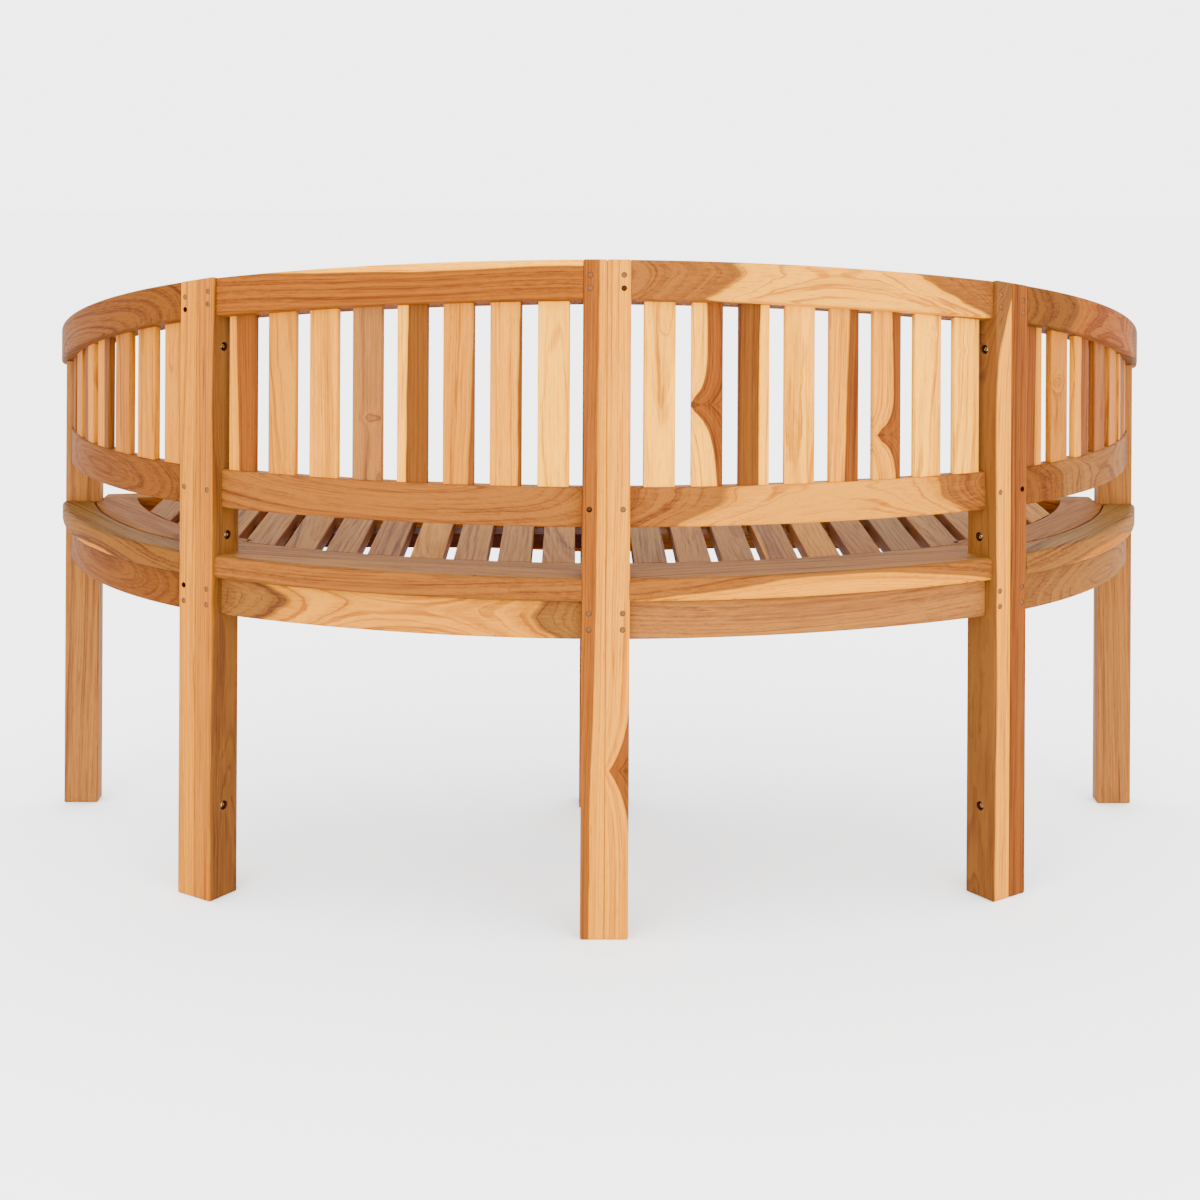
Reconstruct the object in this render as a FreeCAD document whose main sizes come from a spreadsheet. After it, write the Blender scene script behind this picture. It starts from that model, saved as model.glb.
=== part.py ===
import FreeCAD, Part
import Sketcher
import math
import os

# Half-round slatted garden bench in solid teak, 1.6 m across.
# The back stands on the outer, convex side and the seat lies inside it.
# X runs to the right seen from behind, Y from the back towards the front edge, Z up.
# The origin is on the floor, halfway between the back and the front edge.
# The left half is modelled and the right half is its mirror image.

Vector = FreeCAD.Vector
Z_AXIS = Vector(0, 0, 1)

doc = FreeCAD.newDocument("TreeBench")

# Driving dimensions: millimetres and degrees
SIZES = [
    # Posts: each joint of the back has two posts side by side
    ("post_width", 30.0),
    ("post_depth", 50.0),
    ("corner_offset", 536.0),
    ("corner_set", 138.0),
    ("corner_turn", 35.3),
    ("corner_inset", 5.5),
    ("end_offset", 798.0),
    ("end_set", 520.0),
    ("leg_set", 483.0),
    ("foot_chamfer", 2.0),
    # Arcs of the back and the seat, seen from above
    ("back_radius", 1149.0),
    ("end_radius", 620.0),
    ("arm_radius", 632.0),
    ("end_overhang", 7.8867),
    ("arm_overhang", 10.9411),
    ("front_bow", 38.0),
    ("rail_setback", 0.5),
    ("board_setback", 12.0),
    # Top rail, which lies in a plane that falls towards the front
    ("back_height", 848.0),
    ("back_fall", 15.4),
    ("top_rail_depth", 42.0),
    ("top_rail_height", 48.0),
    ("arm_reach", 22.0),
    # Lower back rail, and the gap to the seat under it
    ("low_rail_rise", 61.0),
    ("low_rail_height", 50.0),
    ("low_rail_depth", 20.0),
    # Upright back slats
    ("back_slat_width", 40.0),
    ("back_slat_depth", 10.0),
    ("back_slat_inset", 15.0),
    ("back_slat_gap", 20.3),
    ("slat_post_gap", 16.5),
    # Seat: height, boards, slats and what carries them
    ("seat_height", 450.0),
    ("rim_thickness", 30.0),
    ("rim_width", 91.0),
    ("rim_round", 6.0),
    ("end_rim_width", 45.0),
    ("end_board_width", 62.0),
    ("board_joint", 2.0),
    ("front_rim_width", 42.0),
    ("front_rim_bow", 34.0),
    ("front_overhang", 15.0),
    ("corner_overhang", 33.0),
    ("seat_slat_width", 43.5),
    ("center_slat_width", 48.0),
    ("seat_slat_gap", 14.0),
    ("seat_slat_thickness", 20.0),
    ("apron_height", 49.0),
    ("apron_depth", 25.0),
    ("front_apron_height", 44.0),
    ("front_apron_depth", 30.0),
    ("bearer_height", 50.0),
    ("bearer_width", 25.0),
    ("batten_height", 20.0),
    ("batten_width", 40.0),
    ("batten_set", 390.0),
    ("end_batten_set", 440.0),
    ("bearer_tenon_length", 15.0),
    # Mortise and tenon joints, pegs and bolts
    ("tenon_length", 20.0),
    ("tenon_shoulder", 6.0),
    ("stub_length", 10.0),
    ("stub_shoulder", 4.0),
    ("fit_clearance", 0.2),
    ("peg_diameter", 7.0),
    ("peg_length", 28.0),
    ("peg_edge", 9.0),
    ("bolt_diameter", 6.0),
    ("bolt_head_diameter", 10.0),
    ("bolt_head_height", 4.0),
    ("nut_diameter", 10.0),
    ("nut_height", 5.0),
    ("counterbore_diameter", 12.0),
    ("counterbore_depth", 6.0),
    ("bolt_foot", 120.0),
    ("bolt_over_seat", 24.0),
    ("bolt_drop", 126.0),
]

sheet = doc.addObject("Spreadsheet::Sheet", "Sizes")
for row, (name, value) in enumerate(SIZES, 1):
    sheet.set("A%d" % row, name)
    sheet.set("B%d" % row, str(value))
    sheet.setAlias("B%d" % row, name)
doc.recompute()


def size(name):
    return float(sheet.get(name))


# Helpers that make document objects


def bind(obj, prop, value):
    """Bind a property to the sheet when value is an expression, or set it when it is a number."""
    if isinstance(value, str):
        obj.setExpression(prop, value)
    else:
        setattr(obj, prop, value)


def place(x, y, z=0.0, turn=0.0):
    return FreeCAD.Placement(Vector(x, y, z), FreeCAD.Rotation(Z_AXIS, turn))


def box(name, length, width, height, placement):
    obj = doc.addObject("Part::Box", name)
    bind(obj, "Length", length)
    bind(obj, "Width", width)
    bind(obj, "Height", height)
    obj.Placement = placement
    return obj


def cylinder(name, radius, height, placement):
    obj = doc.addObject("Part::Cylinder", name)
    bind(obj, "Radius", radius)
    bind(obj, "Height", height)
    obj.Placement = placement
    return obj


def union(name, parts):
    if len(parts) == 1:
        return parts[0]
    obj = doc.addObject("Part::MultiFuse", name)
    obj.Shapes = parts
    return obj


def cut(name, base, tools):
    obj = doc.addObject("Part::Cut", name)
    obj.Base = base
    obj.Tool = union(name + "Tools", tools)
    return obj


def common(name, parts):
    obj = doc.addObject("Part::MultiCommon", name)
    obj.Shapes = parts
    return obj


def group(name, parts):
    obj = doc.addObject("Part::Compound", name)
    obj.Links = parts
    return obj


def mirror(name, source):
    obj = doc.addObject("Part::Mirroring", name)
    obj.Source = source
    obj.Normal = Vector(1, 0, 0)
    obj.Base = Vector(0, 0, 0)
    return obj


def origin_plane(body, role):
    for feature in body.Origin.OriginFeatures:
        if feature.Role == role:
            return feature
    raise RuntimeError("no plane " + role)


def new_body(name, placement):
    body = doc.addObject("PartDesign::Body", name)
    body.Placement = placement
    sketch = body.newObject("Sketcher::SketchObject", name + "Sketch")
    sketch.AttachmentSupport = (origin_plane(body, "XY_Plane"), [""])
    sketch.MapMode = "FlatFace"
    return body, sketch


def named_constraint(sketch, name, constraint, value):
    index = sketch.addConstraint(constraint)
    sketch.renameConstraint(index, name)
    if isinstance(value, str):
        sketch.setExpression("Constraints." + name, value)
    return index


def pad(body, sketch, name, length):
    feature = body.newObject("PartDesign::Pad", name)
    feature.Profile = sketch
    bind(feature, "Length", length)
    sketch.Visibility = False
    doc.recompute()
    return feature


def post_body(name, placement, height):
    """A straight post: a rectangle drawn from one corner, padded upwards, its foot chamfered."""
    body, sketch = new_body(name, placement)
    width, depth = size("post_width"), size("post_depth")
    corners = [Vector(0, 0, 0), Vector(width, 0, 0), Vector(width, depth, 0), Vector(0, depth, 0)]
    for i in range(4):
        sketch.addGeometry(Part.LineSegment(corners[i], corners[(i + 1) % 4]), False)
    for i in range(4):
        sketch.addConstraint(Sketcher.Constraint("Coincident", i, 2, (i + 1) % 4, 1))
    sketch.addConstraint(Sketcher.Constraint("Horizontal", 0))
    sketch.addConstraint(Sketcher.Constraint("Vertical", 1))
    sketch.addConstraint(Sketcher.Constraint("Horizontal", 2))
    sketch.addConstraint(Sketcher.Constraint("Vertical", 3))
    sketch.addConstraint(Sketcher.Constraint("Coincident", 0, 1, -1, 1))
    named_constraint(sketch, "Width", Sketcher.Constraint("DistanceX", 0, 1, 0, 2, width),
                     "Sizes.post_width")
    named_constraint(sketch, "Depth", Sketcher.Constraint("DistanceY", 1, 1, 1, 2, depth),
                     "Sizes.post_depth")
    shaft = pad(body, sketch, name + "Pad", height)
    foot = []
    for i, edge in enumerate(shaft.Shape.Edges, 1):
        if abs(edge.BoundBox.ZMax) < 0.001:
            foot.append("Edge%d" % i)
    chamfer = body.newObject("PartDesign::Chamfer", name + "Chamfer")
    chamfer.Base = (shaft, foot)
    bind(chamfer, "Size", "Sizes.foot_chamfer")
    return body


def arc_body(name, center, outer, inner, start, end, base, height, rounded=None):
    """A board sawn to an arc: a ring sector round center, from angle start to angle end."""
    outer_text, outer_radius = outer
    inner_text, inner_radius = inner
    body, sketch = new_body(name, place(center.x, center.y, base))
    first, last = math.radians(start), math.radians(end)
    big = Part.Circle(Vector(0, 0, 0), Z_AXIS, outer_radius)
    small = Part.Circle(Vector(0, 0, 0), Z_AXIS, inner_radius)
    sketch.addGeometry(Part.ArcOfCircle(big, first, last), False)
    sketch.addGeometry(Part.ArcOfCircle(small, first, last), False)
    for angle in (first, last):
        ray = Vector(math.cos(angle), math.sin(angle), 0)
        sketch.addGeometry(Part.LineSegment(ray * inner_radius, ray * outer_radius), False)
    sketch.addConstraint(Sketcher.Constraint("Coincident", 0, 3, -1, 1))
    sketch.addConstraint(Sketcher.Constraint("Coincident", 1, 3, -1, 1))
    for line, point in ((2, 1), (3, 2)):
        sketch.addConstraint(Sketcher.Constraint("Coincident", line, 1, 1, point))
        sketch.addConstraint(Sketcher.Constraint("Coincident", line, 2, 0, point))
    named_constraint(sketch, "Outer", Sketcher.Constraint("Radius", 0, outer_radius), outer_text)
    named_constraint(sketch, "Inner", Sketcher.Constraint("Radius", 1, inner_radius), inner_text)
    for line, angle in ((2, first), (3, last)):
        sketch.addConstraint(Sketcher.Constraint("PointOnObject", -1, 1, line))
        sketch.addConstraint(Sketcher.Constraint("Angle", line, angle))
    board = pad(body, sketch, name + "Pad", height)
    if rounded:
        edges = []
        for i, edge in enumerate(board.Shape.Edges, 1):
            curve = edge.Curve
            if isinstance(curve, Part.Circle) and abs(curve.Radius - outer_radius) < 0.01:
                edges.append("Edge%d" % i)
        fillet = body.newObject("PartDesign::Fillet", name + "Fillet")
        fillet.Base = (board, edges)
        bind(fillet, "Radius", rounded)
    return body


# Depth of the bench, which the origin halves: to the front edge or to the arm ends
post_width = size("post_width")
post_depth = size("post_depth")
front_bow = size("front_bow")
front_rim_bow = size("front_rim_bow")
leg_front = size("leg_set") + post_depth
end_front = size("end_set") + post_width / 2


def apex(first, second, bow, span):
    """Furthest Y of an arc over span that bows out by bow from the line first to second."""
    chord = math.hypot(span, second - first)
    radius = (chord ** 2 / 4 + bow ** 2) / (2 * bow)
    middle = (first + second) / 2 - (radius - bow) * span / chord
    return middle + radius


front_edge = apex(leg_front + size("front_overhang"), end_front + size("corner_overhang"),
                  front_rim_bow, size("end_offset") - post_depth)
depth = max(front_edge, end_front + size("arm_reach"))
back_y = -depth / 2

# Places of the posts: each frame has its origin on the outer face, X along the back, Y inwards
center_frame = place(0, back_y)
corner_frame = place(-size("corner_offset"), back_y + size("corner_set"), 0, -size("corner_turn"))
end_frame = place(-size("end_offset"), back_y + size("end_set"), 0, -90)
leg_frame = place(0, back_y + size("leg_set"))


def at(frame, x, y, z=0.0):
    """The world point of a post frame's local point."""
    return frame.multVec(Vector(x, y, z))


def local(frame, x, y, z=0.0):
    """A placement inside a post frame."""
    return frame.multiply(place(x, y, z))


def circle_center(first, second, radius):
    """Centre of the circle through two points, on the left going from first to second.
    A negative radius puts it on the right."""
    chord = second - first
    half = chord.Length / 2
    normal = Vector(-chord.y, chord.x, 0) / chord.Length
    return first + chord / 2 + normal * math.copysign(math.sqrt(radius ** 2 - half ** 2), radius)


def angle_of(center, point):
    return math.degrees(math.atan2(point.y - center.y, point.x - center.x)) % 360


# Centre arc: flush with the centre post and a little behind the face of the inner corner post
center_edge = at(center_frame, -post_width, 0)
corner_edge = at(corner_frame, post_width, size("corner_inset"))
back_radius = size("back_radius")
back_center = circle_center(corner_edge, center_edge, back_radius)

# End arcs run from just outside the end post to the face of the outer corner post:
# the seat and lower rail, and the top rail
corner_face = at(corner_frame, -post_width, 0)
end_radius = size("end_radius")
end_center = circle_center(at(end_frame, 0, -size("end_overhang")), corner_face, end_radius)
arm_radius = size("arm_radius")
arm_center = circle_center(at(end_frame, 0, -size("arm_overhang")), corner_face, arm_radius)


def bowed(first, second, bow):
    """Radius and centre of the arc that bows out towards the front from first to second."""
    chord = (second - first).Length
    radius = (chord ** 2 / 4 + bow ** 2) / (2 * bow)
    return radius, circle_center(second, first, -radius)


# Front arcs: the apron between the front leg and the end post, and the rim that overhangs it
leg_edge = at(leg_frame, -post_width, post_depth)
end_edge = at(end_frame, -post_width / 2, post_depth)
front_radius, front_center = bowed(leg_edge, end_edge, front_bow)
rim_start = at(leg_frame, 0, post_depth + size("front_overhang"))
rim_stop = end_edge + Vector(0, size("corner_overhang"), 0)
front_rim_outer, front_rim_center = bowed(rim_start, rim_stop, front_rim_bow)

seat_height = size("seat_height")
board_base = seat_height - size("rim_thickness")

# Long boxes that trim everything to the falling plane of the top rail
back_fall = size("back_fall")
reach = 4 * back_radius
fall = FreeCAD.Rotation(Vector(1, 0, 0), -back_fall)


def falling_box(name, low, height):
    top = Vector(0, back_y, size("back_height"))
    corner = fall.multVec(Vector(-reach / 2, -reach / 2, low)) + top
    return box(name, reach, reach, height, FreeCAD.Placement(corner, fall))


rail_height = size("top_rail_height")
above_rail = falling_box("AboveRail", 0, reach)
rail_slab = falling_box("RailSlab", -rail_height, "Sizes.top_rail_height")
above_underside = falling_box("AboveUnderside", -rail_height, reach)


def underside(y):
    """Height of the top rail's underside at a world y."""
    drop = (y - back_y) * math.tan(math.radians(back_fall))
    return size("back_height") - drop - rail_height / math.cos(math.radians(back_fall))


# Everything beyond a post's side, where the rails end, and the notches for the posts
center_side = box("CenterSide", reach, 2 * reach, reach, local(center_frame, -post_width, -reach))
inner_side = box("InnerSide", reach, 2 * reach, reach,
                 local(corner_frame, post_width - reach, -reach))
outer_side = box("OuterSide", reach, 2 * reach, reach, local(corner_frame, -post_width, -reach))
near_side = box("NearSide", reach, 2 * reach, reach,
                local(end_frame, post_width / 2 - reach, -reach))
notch_height = size("back_height")
center_notch = box("CenterNotch", 2 * post_width, 2 * post_depth, notch_height,
                   local(center_frame, -post_width, -post_depth))
corner_notch = box("CornerNotch", 2 * post_width, 2 * post_depth, notch_height,
                   local(corner_frame, -post_width, -post_depth))
end_notch = box("EndNotch", post_width, 2 * post_depth, notch_height,
                local(end_frame, -post_width / 2, -post_depth))
leg_notch = box("LegNotch", 2 * post_width, 2 * post_depth, notch_height,
                local(leg_frame, -post_width, 0))

nodes = []


def node(obj, label):
    obj.Label = label
    nodes.append(obj)
    return obj


def both(obj, label, pattern):
    """Keep a left-hand piece and its mirror image as two sub-parts."""
    node(obj, pattern % "left")
    node(mirror(label + "Mirror", obj), pattern % "right")


# Tenon boxes in post frames. Each entry: frame, side of the post, depth range, height range.
# A tenon starts inside its rail and runs tenon_length into the post.
tenon_length = size("tenon_length")
shoulder = size("tenon_shoulder")
clearance = size("fit_clearance")
rail_setback = size("rail_setback")
board_setback = size("board_setback")


def tenon(name, frame, face, side, near, far, low, high):
    """A tenon through the post side at local x = face, running the way of side."""
    root = 3 * shoulder
    start = face - root if side > 0 else face - tenon_length
    length = root + tenon_length
    return box(name, length, far - near, high - low, local(frame, start, near, low))


def mortise(name, frame, face, side, near, far, low, high):
    start = face if side > 0 else face - tenon_length - clearance
    return box(name, tenon_length + clearance, far - near + 2 * clearance,
               high - low + 2 * clearance, local(frame, start, near - clearance, low - clearance))


# Where each rear rail lies: depth from the outer face and height, at a post
apron_low = board_base - size("apron_height")
apron_depth = size("apron_depth")
low_base = size("seat_height") + size("low_rail_rise")
low_top = low_base + size("low_rail_height")
low_depth = size("low_rail_depth")
top_depth = size("top_rail_depth")


def rail_tenons(tag, frame, face, side, inset):
    """Tenon data of the top rail, the low back rail and the apron at one post side.
    The flush line of the rails meets the post at a depth inset."""
    top_low = underside(at(frame, face, 0).y)
    rail_line = inset + rail_setback
    board_line = inset + board_setback
    rows = {
        "top": (rail_line + 2 * shoulder, rail_line + top_depth - 2 * shoulder,
                top_low + shoulder, top_low + rail_height - 2 * shoulder),
        "low": (board_line + shoulder, board_line + low_depth - shoulder / 2,
                low_base + shoulder, low_top - shoulder),
        "apron": (board_line + shoulder, board_line + apron_depth - shoulder,
                  apron_low + shoulder, board_base - shoulder),
    }
    return [(tag + key.capitalize(), key, frame, face, side) + value for key, value in rows.items()]


joints = rail_tenons("CenterPost", center_frame, -post_width, 1, 0)
joints += rail_tenons("InnerPost", corner_frame, post_width, -1, size("corner_inset"))
joints += rail_tenons("OuterPost", corner_frame, -post_width, 1, 0)

# Pegs through the posts' outer faces, which lock the tenons
peg_edge = size("peg_edge")
peg_length = size("peg_length")
peg_pins = []
peg_holes = {}


def peg(name, frame, x, z, owner):
    """A peg driven in from the outer face at local x and height z, and its hole."""
    turned = FreeCAD.Placement(at(frame, x, 0, z),
                               frame.Rotation.multiply(FreeCAD.Rotation(Vector(1, 0, 0), -90)))
    peg_pins.append(cylinder(name, "Sizes.peg_diameter / 2", "Sizes.peg_length", turned))
    hole = cylinder(name + "Hole", "Sizes.peg_diameter / 2 + Sizes.fit_clearance / 2",
                    peg_length + clearance, turned)
    for key in owner:
        peg_holes.setdefault(key, []).append(hole)


for tag, key, frame, face, side, near, far, low, high in joints:
    x = face + side * peg_edge
    span = high - low
    levels = [low + span / 2] if key == "low" else [low + span * 0.25, low + span * 0.8]
    for i, z in enumerate(levels, 1):
        peg("Peg%s%d" % (tag, i), frame, x, z, (tag, tag[:-len(key)]))

# End post joints: the low rail and the apron run into its near side
end_face = post_width / 2


def arc_depth(center, radius, y):
    """Distance of an arc from the end post's outer face, at a world y."""
    return center.x - math.sqrt(radius ** 2 - (center.y - y) ** 2) - end_frame.Base.x


near_y = at(end_frame, post_width / 2, 0).y
low_near = arc_depth(end_center, end_radius - board_setback, near_y)
low_far = arc_depth(end_center, end_radius - board_setback - low_depth, near_y)
apron_far = arc_depth(end_center, end_radius - board_setback - apron_depth, near_y)
end_joints = [
    ("EndPostLow", "low", end_frame, end_face, -1, low_near + shoulder, low_far - shoulder / 2,
     low_base + shoulder, low_top - shoulder),
    ("EndPostApron", "apron", end_frame, end_face, -1, low_near + shoulder, apron_far - shoulder,
     apron_low + shoulder, board_base - shoulder),
]
for tag, key, frame, face, side, near, far, low, high in end_joints:
    peg("Peg" + tag, frame, face + side * peg_edge, (low + high) / 2, (tag, "EndPost"))

# Front apron joints at the front leg and the end post's inner face
front_depth = size("front_apron_depth")
front_low = board_base - size("front_apron_height")
front_tenon_low = front_low + shoulder
front_tenon_high = board_base - shoulder
leg_joint = ("LegFront", "front", leg_frame, -post_width, 1, post_depth - front_depth + shoulder,
             post_depth - shoulder, front_tenon_low, front_tenon_high)
end_front_tenon = box("EndFrontTenon", tenon_length + 3 * shoulder, front_depth - 2 * shoulder,
                      front_tenon_high - front_tenon_low,
                      place(end_edge.x - tenon_length, end_edge.y - front_depth + shoulder,
                            front_tenon_low))
end_front_mortise = box("EndFrontMortise", tenon_length + clearance,
                        front_depth - 2 * shoulder + 2 * clearance,
                        front_tenon_high - front_tenon_low + 2 * clearance,
                        place(end_edge.x - tenon_length - clearance,
                              end_edge.y - front_depth + shoulder - clearance,
                              front_tenon_low - clearance))

# Posts, before joints are cut into them
tall = "Sizes.back_height + Sizes.post_depth"
raw_center_post = post_body("CenterPost", local(center_frame, -post_width, 0), tall)
raw_inner_post = post_body("InnerPost", local(corner_frame, 0, 0), tall)
raw_outer_post = post_body("OuterPost", local(corner_frame, -post_width, 0), tall)
raw_end_post = post_body("EndPost", local(end_frame, -post_width / 2, 0), tall)
raw_leg = post_body("FrontLeg", local(leg_frame, -post_width, 0),
                    "Sizes.seat_height - Sizes.rim_thickness")

# Bolts that hold the paired posts together: near the foot, just over the seat, under the rail
bolt_foot = size("bolt_foot")
bolt_middle = size("seat_height") + size("bolt_over_seat")
bolt_high = size("back_height") - size("bolt_drop")
bolt_spots = [
    ("Center", center_frame, ((bolt_foot, 0.5), (bolt_middle, 0.58), (bolt_high, 0.42))),
    ("Corner", corner_frame, ((bolt_foot, 0.5), (bolt_middle, 0.58), (bolt_high, 0.42))),
    ("Leg", leg_frame, ((bolt_foot, 0.5),)),
]
bore_depth = size("counterbore_depth")
bolt_parts = {"Center": [], "Corner": [], "Leg": []}
nut_parts = {"Center": [], "Corner": [], "Leg": []}
bolt_holes = {"Center": [], "Corner": [], "Leg": []}
for tag, frame, rows in bolt_spots:
    for i, (height, share) in enumerate(rows, 1):
        name = "Bolt%s%d" % (tag, i)
        across = frame.Rotation.multiply(FreeCAD.Rotation(Vector(0, 1, 0), -90))

        def along(x):
            return FreeCAD.Placement(at(frame, x, share * post_depth, height), across)

        inner_seat = post_width - bore_depth
        head = cylinder(name + "Head", "Sizes.bolt_head_diameter / 2", "Sizes.bolt_head_height",
                        along(inner_seat + size("bolt_head_height")))
        shank = cylinder(name + "Shank", "Sizes.bolt_diameter / 2",
                         2 * inner_seat + size("nut_height"), along(inner_seat))
        bolt_parts[tag].append(union(name, [head, shank]))
        ring = cylinder(name + "NutRing", "Sizes.nut_diameter / 2", "Sizes.nut_height",
                        along(-inner_seat))
        bore = cylinder(name + "NutBore", "Sizes.bolt_diameter / 2", "Sizes.nut_height",
                        along(-inner_seat))
        nut_parts[tag].append(cut(name + "Nut", ring, [bore]))
        hole = cylinder(name + "Hole", "Sizes.bolt_diameter / 2 + Sizes.fit_clearance",
                        2 * post_width, along(post_width))
        head_bore = cylinder(name + "HeadBore", "Sizes.counterbore_diameter / 2", bore_depth,
                             along(post_width))
        nut_bore = cylinder(name + "NutSeat", "Sizes.counterbore_diameter / 2", bore_depth,
                            along(-inner_seat))
        bolt_holes[tag] += [hole, head_bore, nut_bore]

# Bearer tenons: the centre bearer runs from the rear post to the front leg
bearer_width = size("bearer_width")
bearer_height = size("bearer_height")
bearer_low = board_base - bearer_height
bearer_x = -(post_width + bearer_width) / 2
bearer_tongue = size("bearer_tenon_length")
bearer_start = back_y + post_depth
bearer_length = size("leg_set") - post_depth
bearer_tenon = box("BearerTenon", bearer_width - 2 * shoulder, bearer_length + 2 * bearer_tongue,
                   bearer_height - 2 * shoulder,
                   place(bearer_x + shoulder, bearer_start - bearer_tongue, bearer_low + shoulder))
bearer_mortise = box("BearerMortise", bearer_width - 2 * shoulder + 2 * clearance,
                     bearer_length + 2 * (bearer_tongue + clearance),
                     bearer_height - 2 * shoulder + 2 * clearance,
                     place(bearer_x + shoulder - clearance,
                           bearer_start - bearer_tongue - clearance,
                           bearer_low + shoulder - clearance))


def joint_mortises(tag):
    return [mortise(row[0] + "Mortise", *row[2:]) for row in joints + end_joints + [leg_joint]
            if row[0].startswith(tag)]


center_post = cut("CenterPostCut", raw_center_post,
                  [above_rail, bearer_mortise] + joint_mortises("CenterPost")
                  + peg_holes["CenterPost"] + bolt_holes["Center"])
both(center_post, "CenterPost", "post_center_%s")

inner_post = cut("InnerPostCut", raw_inner_post,
                 [above_rail] + joint_mortises("InnerPost") + peg_holes["InnerPost"]
                 + bolt_holes["Corner"])
both(inner_post, "InnerPost", "post_corner_%s_inner")

outer_post = cut("OuterPostCut", raw_outer_post,
                 [above_rail] + joint_mortises("OuterPost") + peg_holes["OuterPost"]
                 + bolt_holes["Corner"])
both(outer_post, "OuterPost", "post_corner_%s_outer")

# End post: its tenon reaches up into the top rail
far_y = at(end_frame, -post_width / 2, 0).y
post_tenon_low = underside(far_y) - 3 * shoulder
post_tenon_high = underside(near_y) + tenon_length
post_tenon = box("EndPostTenon", post_width - 2 * shoulder, post_depth / 2 - shoulder,
                 post_tenon_high - post_tenon_low,
                 local(end_frame, shoulder - post_width / 2, post_depth / 4 + shoulder / 2,
                       post_tenon_low))
post_mortise = box("EndPostTopMortise", post_width - 2 * shoulder + 2 * clearance,
                   post_depth / 2 - shoulder + 2 * clearance,
                   post_tenon_high - post_tenon_low + clearance,
                   local(end_frame, shoulder - post_width / 2 - clearance,
                         post_depth / 4 + shoulder / 2 - clearance, post_tenon_low))
end_post_shaft = cut("EndPostCut", raw_end_post,
                     [above_underside, end_front_mortise] + joint_mortises("EndPost")
                     + peg_holes["EndPost"])
end_post = union("EndPostJoined", [end_post_shaft, post_tenon])
both(end_post, "EndPost", "post_end_%s")

leg = cut("LegCut", raw_leg, [bearer_mortise] + joint_mortises("Leg") + bolt_holes["Leg"])
both(leg, "Leg", "leg_front_%s")

# Ends of the arcs: in the middle of the posts that hold them
center_end = angle_of(back_center, at(center_frame, -post_width / 2, post_depth / 2))
corner_end = angle_of(back_center, at(corner_frame, post_width / 2, post_depth / 2))
outer_end = angle_of(end_center, at(corner_frame, -post_width / 2, post_depth / 2))
last_end = angle_of(end_center, at(end_frame, 0, post_depth / 2))
past_center = angle_of(back_center, at(center_frame, post_width, post_depth / 2))
past_corner = angle_of(back_center, at(corner_frame, -post_width, post_depth / 2))
past_outer = angle_of(end_center, at(corner_frame, post_width, post_depth / 2))

# Back slats: evenly spread boxes, with stub tenons into both rails
slat_width = size("back_slat_width")
slat_depth = size("back_slat_depth")
slat_inset = size("back_slat_inset")
slat_gap = size("back_slat_gap")
stub = size("stub_length")
stub_shoulder = size("stub_shoulder")


def slat_row(tag, center, radius, start, end, last_gap=None):
    """Slats along an arc from angle start to angle end, and their stub tenons.
    The row leaves last_gap before its end, or is centred."""
    line = radius - slat_inset - slat_depth / 2
    arc = math.radians(end - start) * line
    pitch = slat_width + slat_gap
    count = int((arc + slat_gap - (last_gap or 0)) / pitch)
    if last_gap is None:
        last_gap = (arc + slat_gap - count * pitch) / 2
    slats, stubs, holes = [], [], []
    for i in range(count):
        along = arc - last_gap - slat_width / 2 - i * pitch
        angle = start + math.degrees(along / line)
        spot = center + Vector(math.cos(math.radians(angle)), math.sin(math.radians(angle)), 0) * line
        frame = place(spot.x, spot.y, 0, angle + 90)
        name = "%sSlat%d" % (tag, i + 1)
        top = underside(spot.y)
        slats.append(box(name, "Sizes.back_slat_width", "Sizes.back_slat_depth",
                         "Sizes.back_height - Sizes.seat_height - Sizes.low_rail_rise"
                         " - Sizes.low_rail_height",
                         local(frame, -slat_width / 2, -slat_depth / 2, low_top)))
        stub_width = slat_width - 2 * stub_shoulder
        stub_depth = slat_depth - stub_shoulder
        stubs.append(box(name + "Stub", stub_width, stub_depth, top - low_top + 2 * stub,
                         local(frame, -stub_width / 2, -stub_depth / 2, low_top - stub)))
        holes.append(box(name + "StubHole", stub_width + 2 * clearance,
                         stub_depth + 2 * clearance, top - low_top + 2 * stub + 2 * clearance,
                         local(frame, -stub_width / 2 - clearance, -stub_depth / 2 - clearance,
                               low_top - stub - clearance)))
    finished = []
    for i, (slat, tongue) in enumerate(zip(slats, stubs), 1):
        trimmed = cut("%sSlat%dCut" % (tag, i), slat, [above_underside])
        finished.append(union("%sSlat%dJoined" % (tag, i), [trimmed, tongue]))
    return finished, holes


slat_start = angle_of(back_center, at(corner_frame, post_width,
                                      size("corner_inset") + slat_inset))
slat_stop = angle_of(back_center, at(center_frame, -post_width, slat_inset))
center_slats, center_stub_holes = slat_row("Center", back_center, back_radius,
                                           slat_start, slat_stop, size("slat_post_gap"))
end_start = angle_of(end_center, at(end_frame, post_width / 2, slat_inset))
end_stop = angle_of(end_center, at(corner_frame, -post_width, slat_inset))
end_slats, end_stub_holes = slat_row("End", end_center, end_radius, end_start, end_stop)
center_slat_group = group("CenterSlats", center_slats)
end_slat_group = group("EndSlats", end_slats)
both(center_slat_group, "CenterSlats", "back_slats_center_%s")
both(end_slat_group, "EndSlats", "back_slats_end_%s")


# Rails of the back
def ring(text, value):
    return (text, value)


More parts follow.
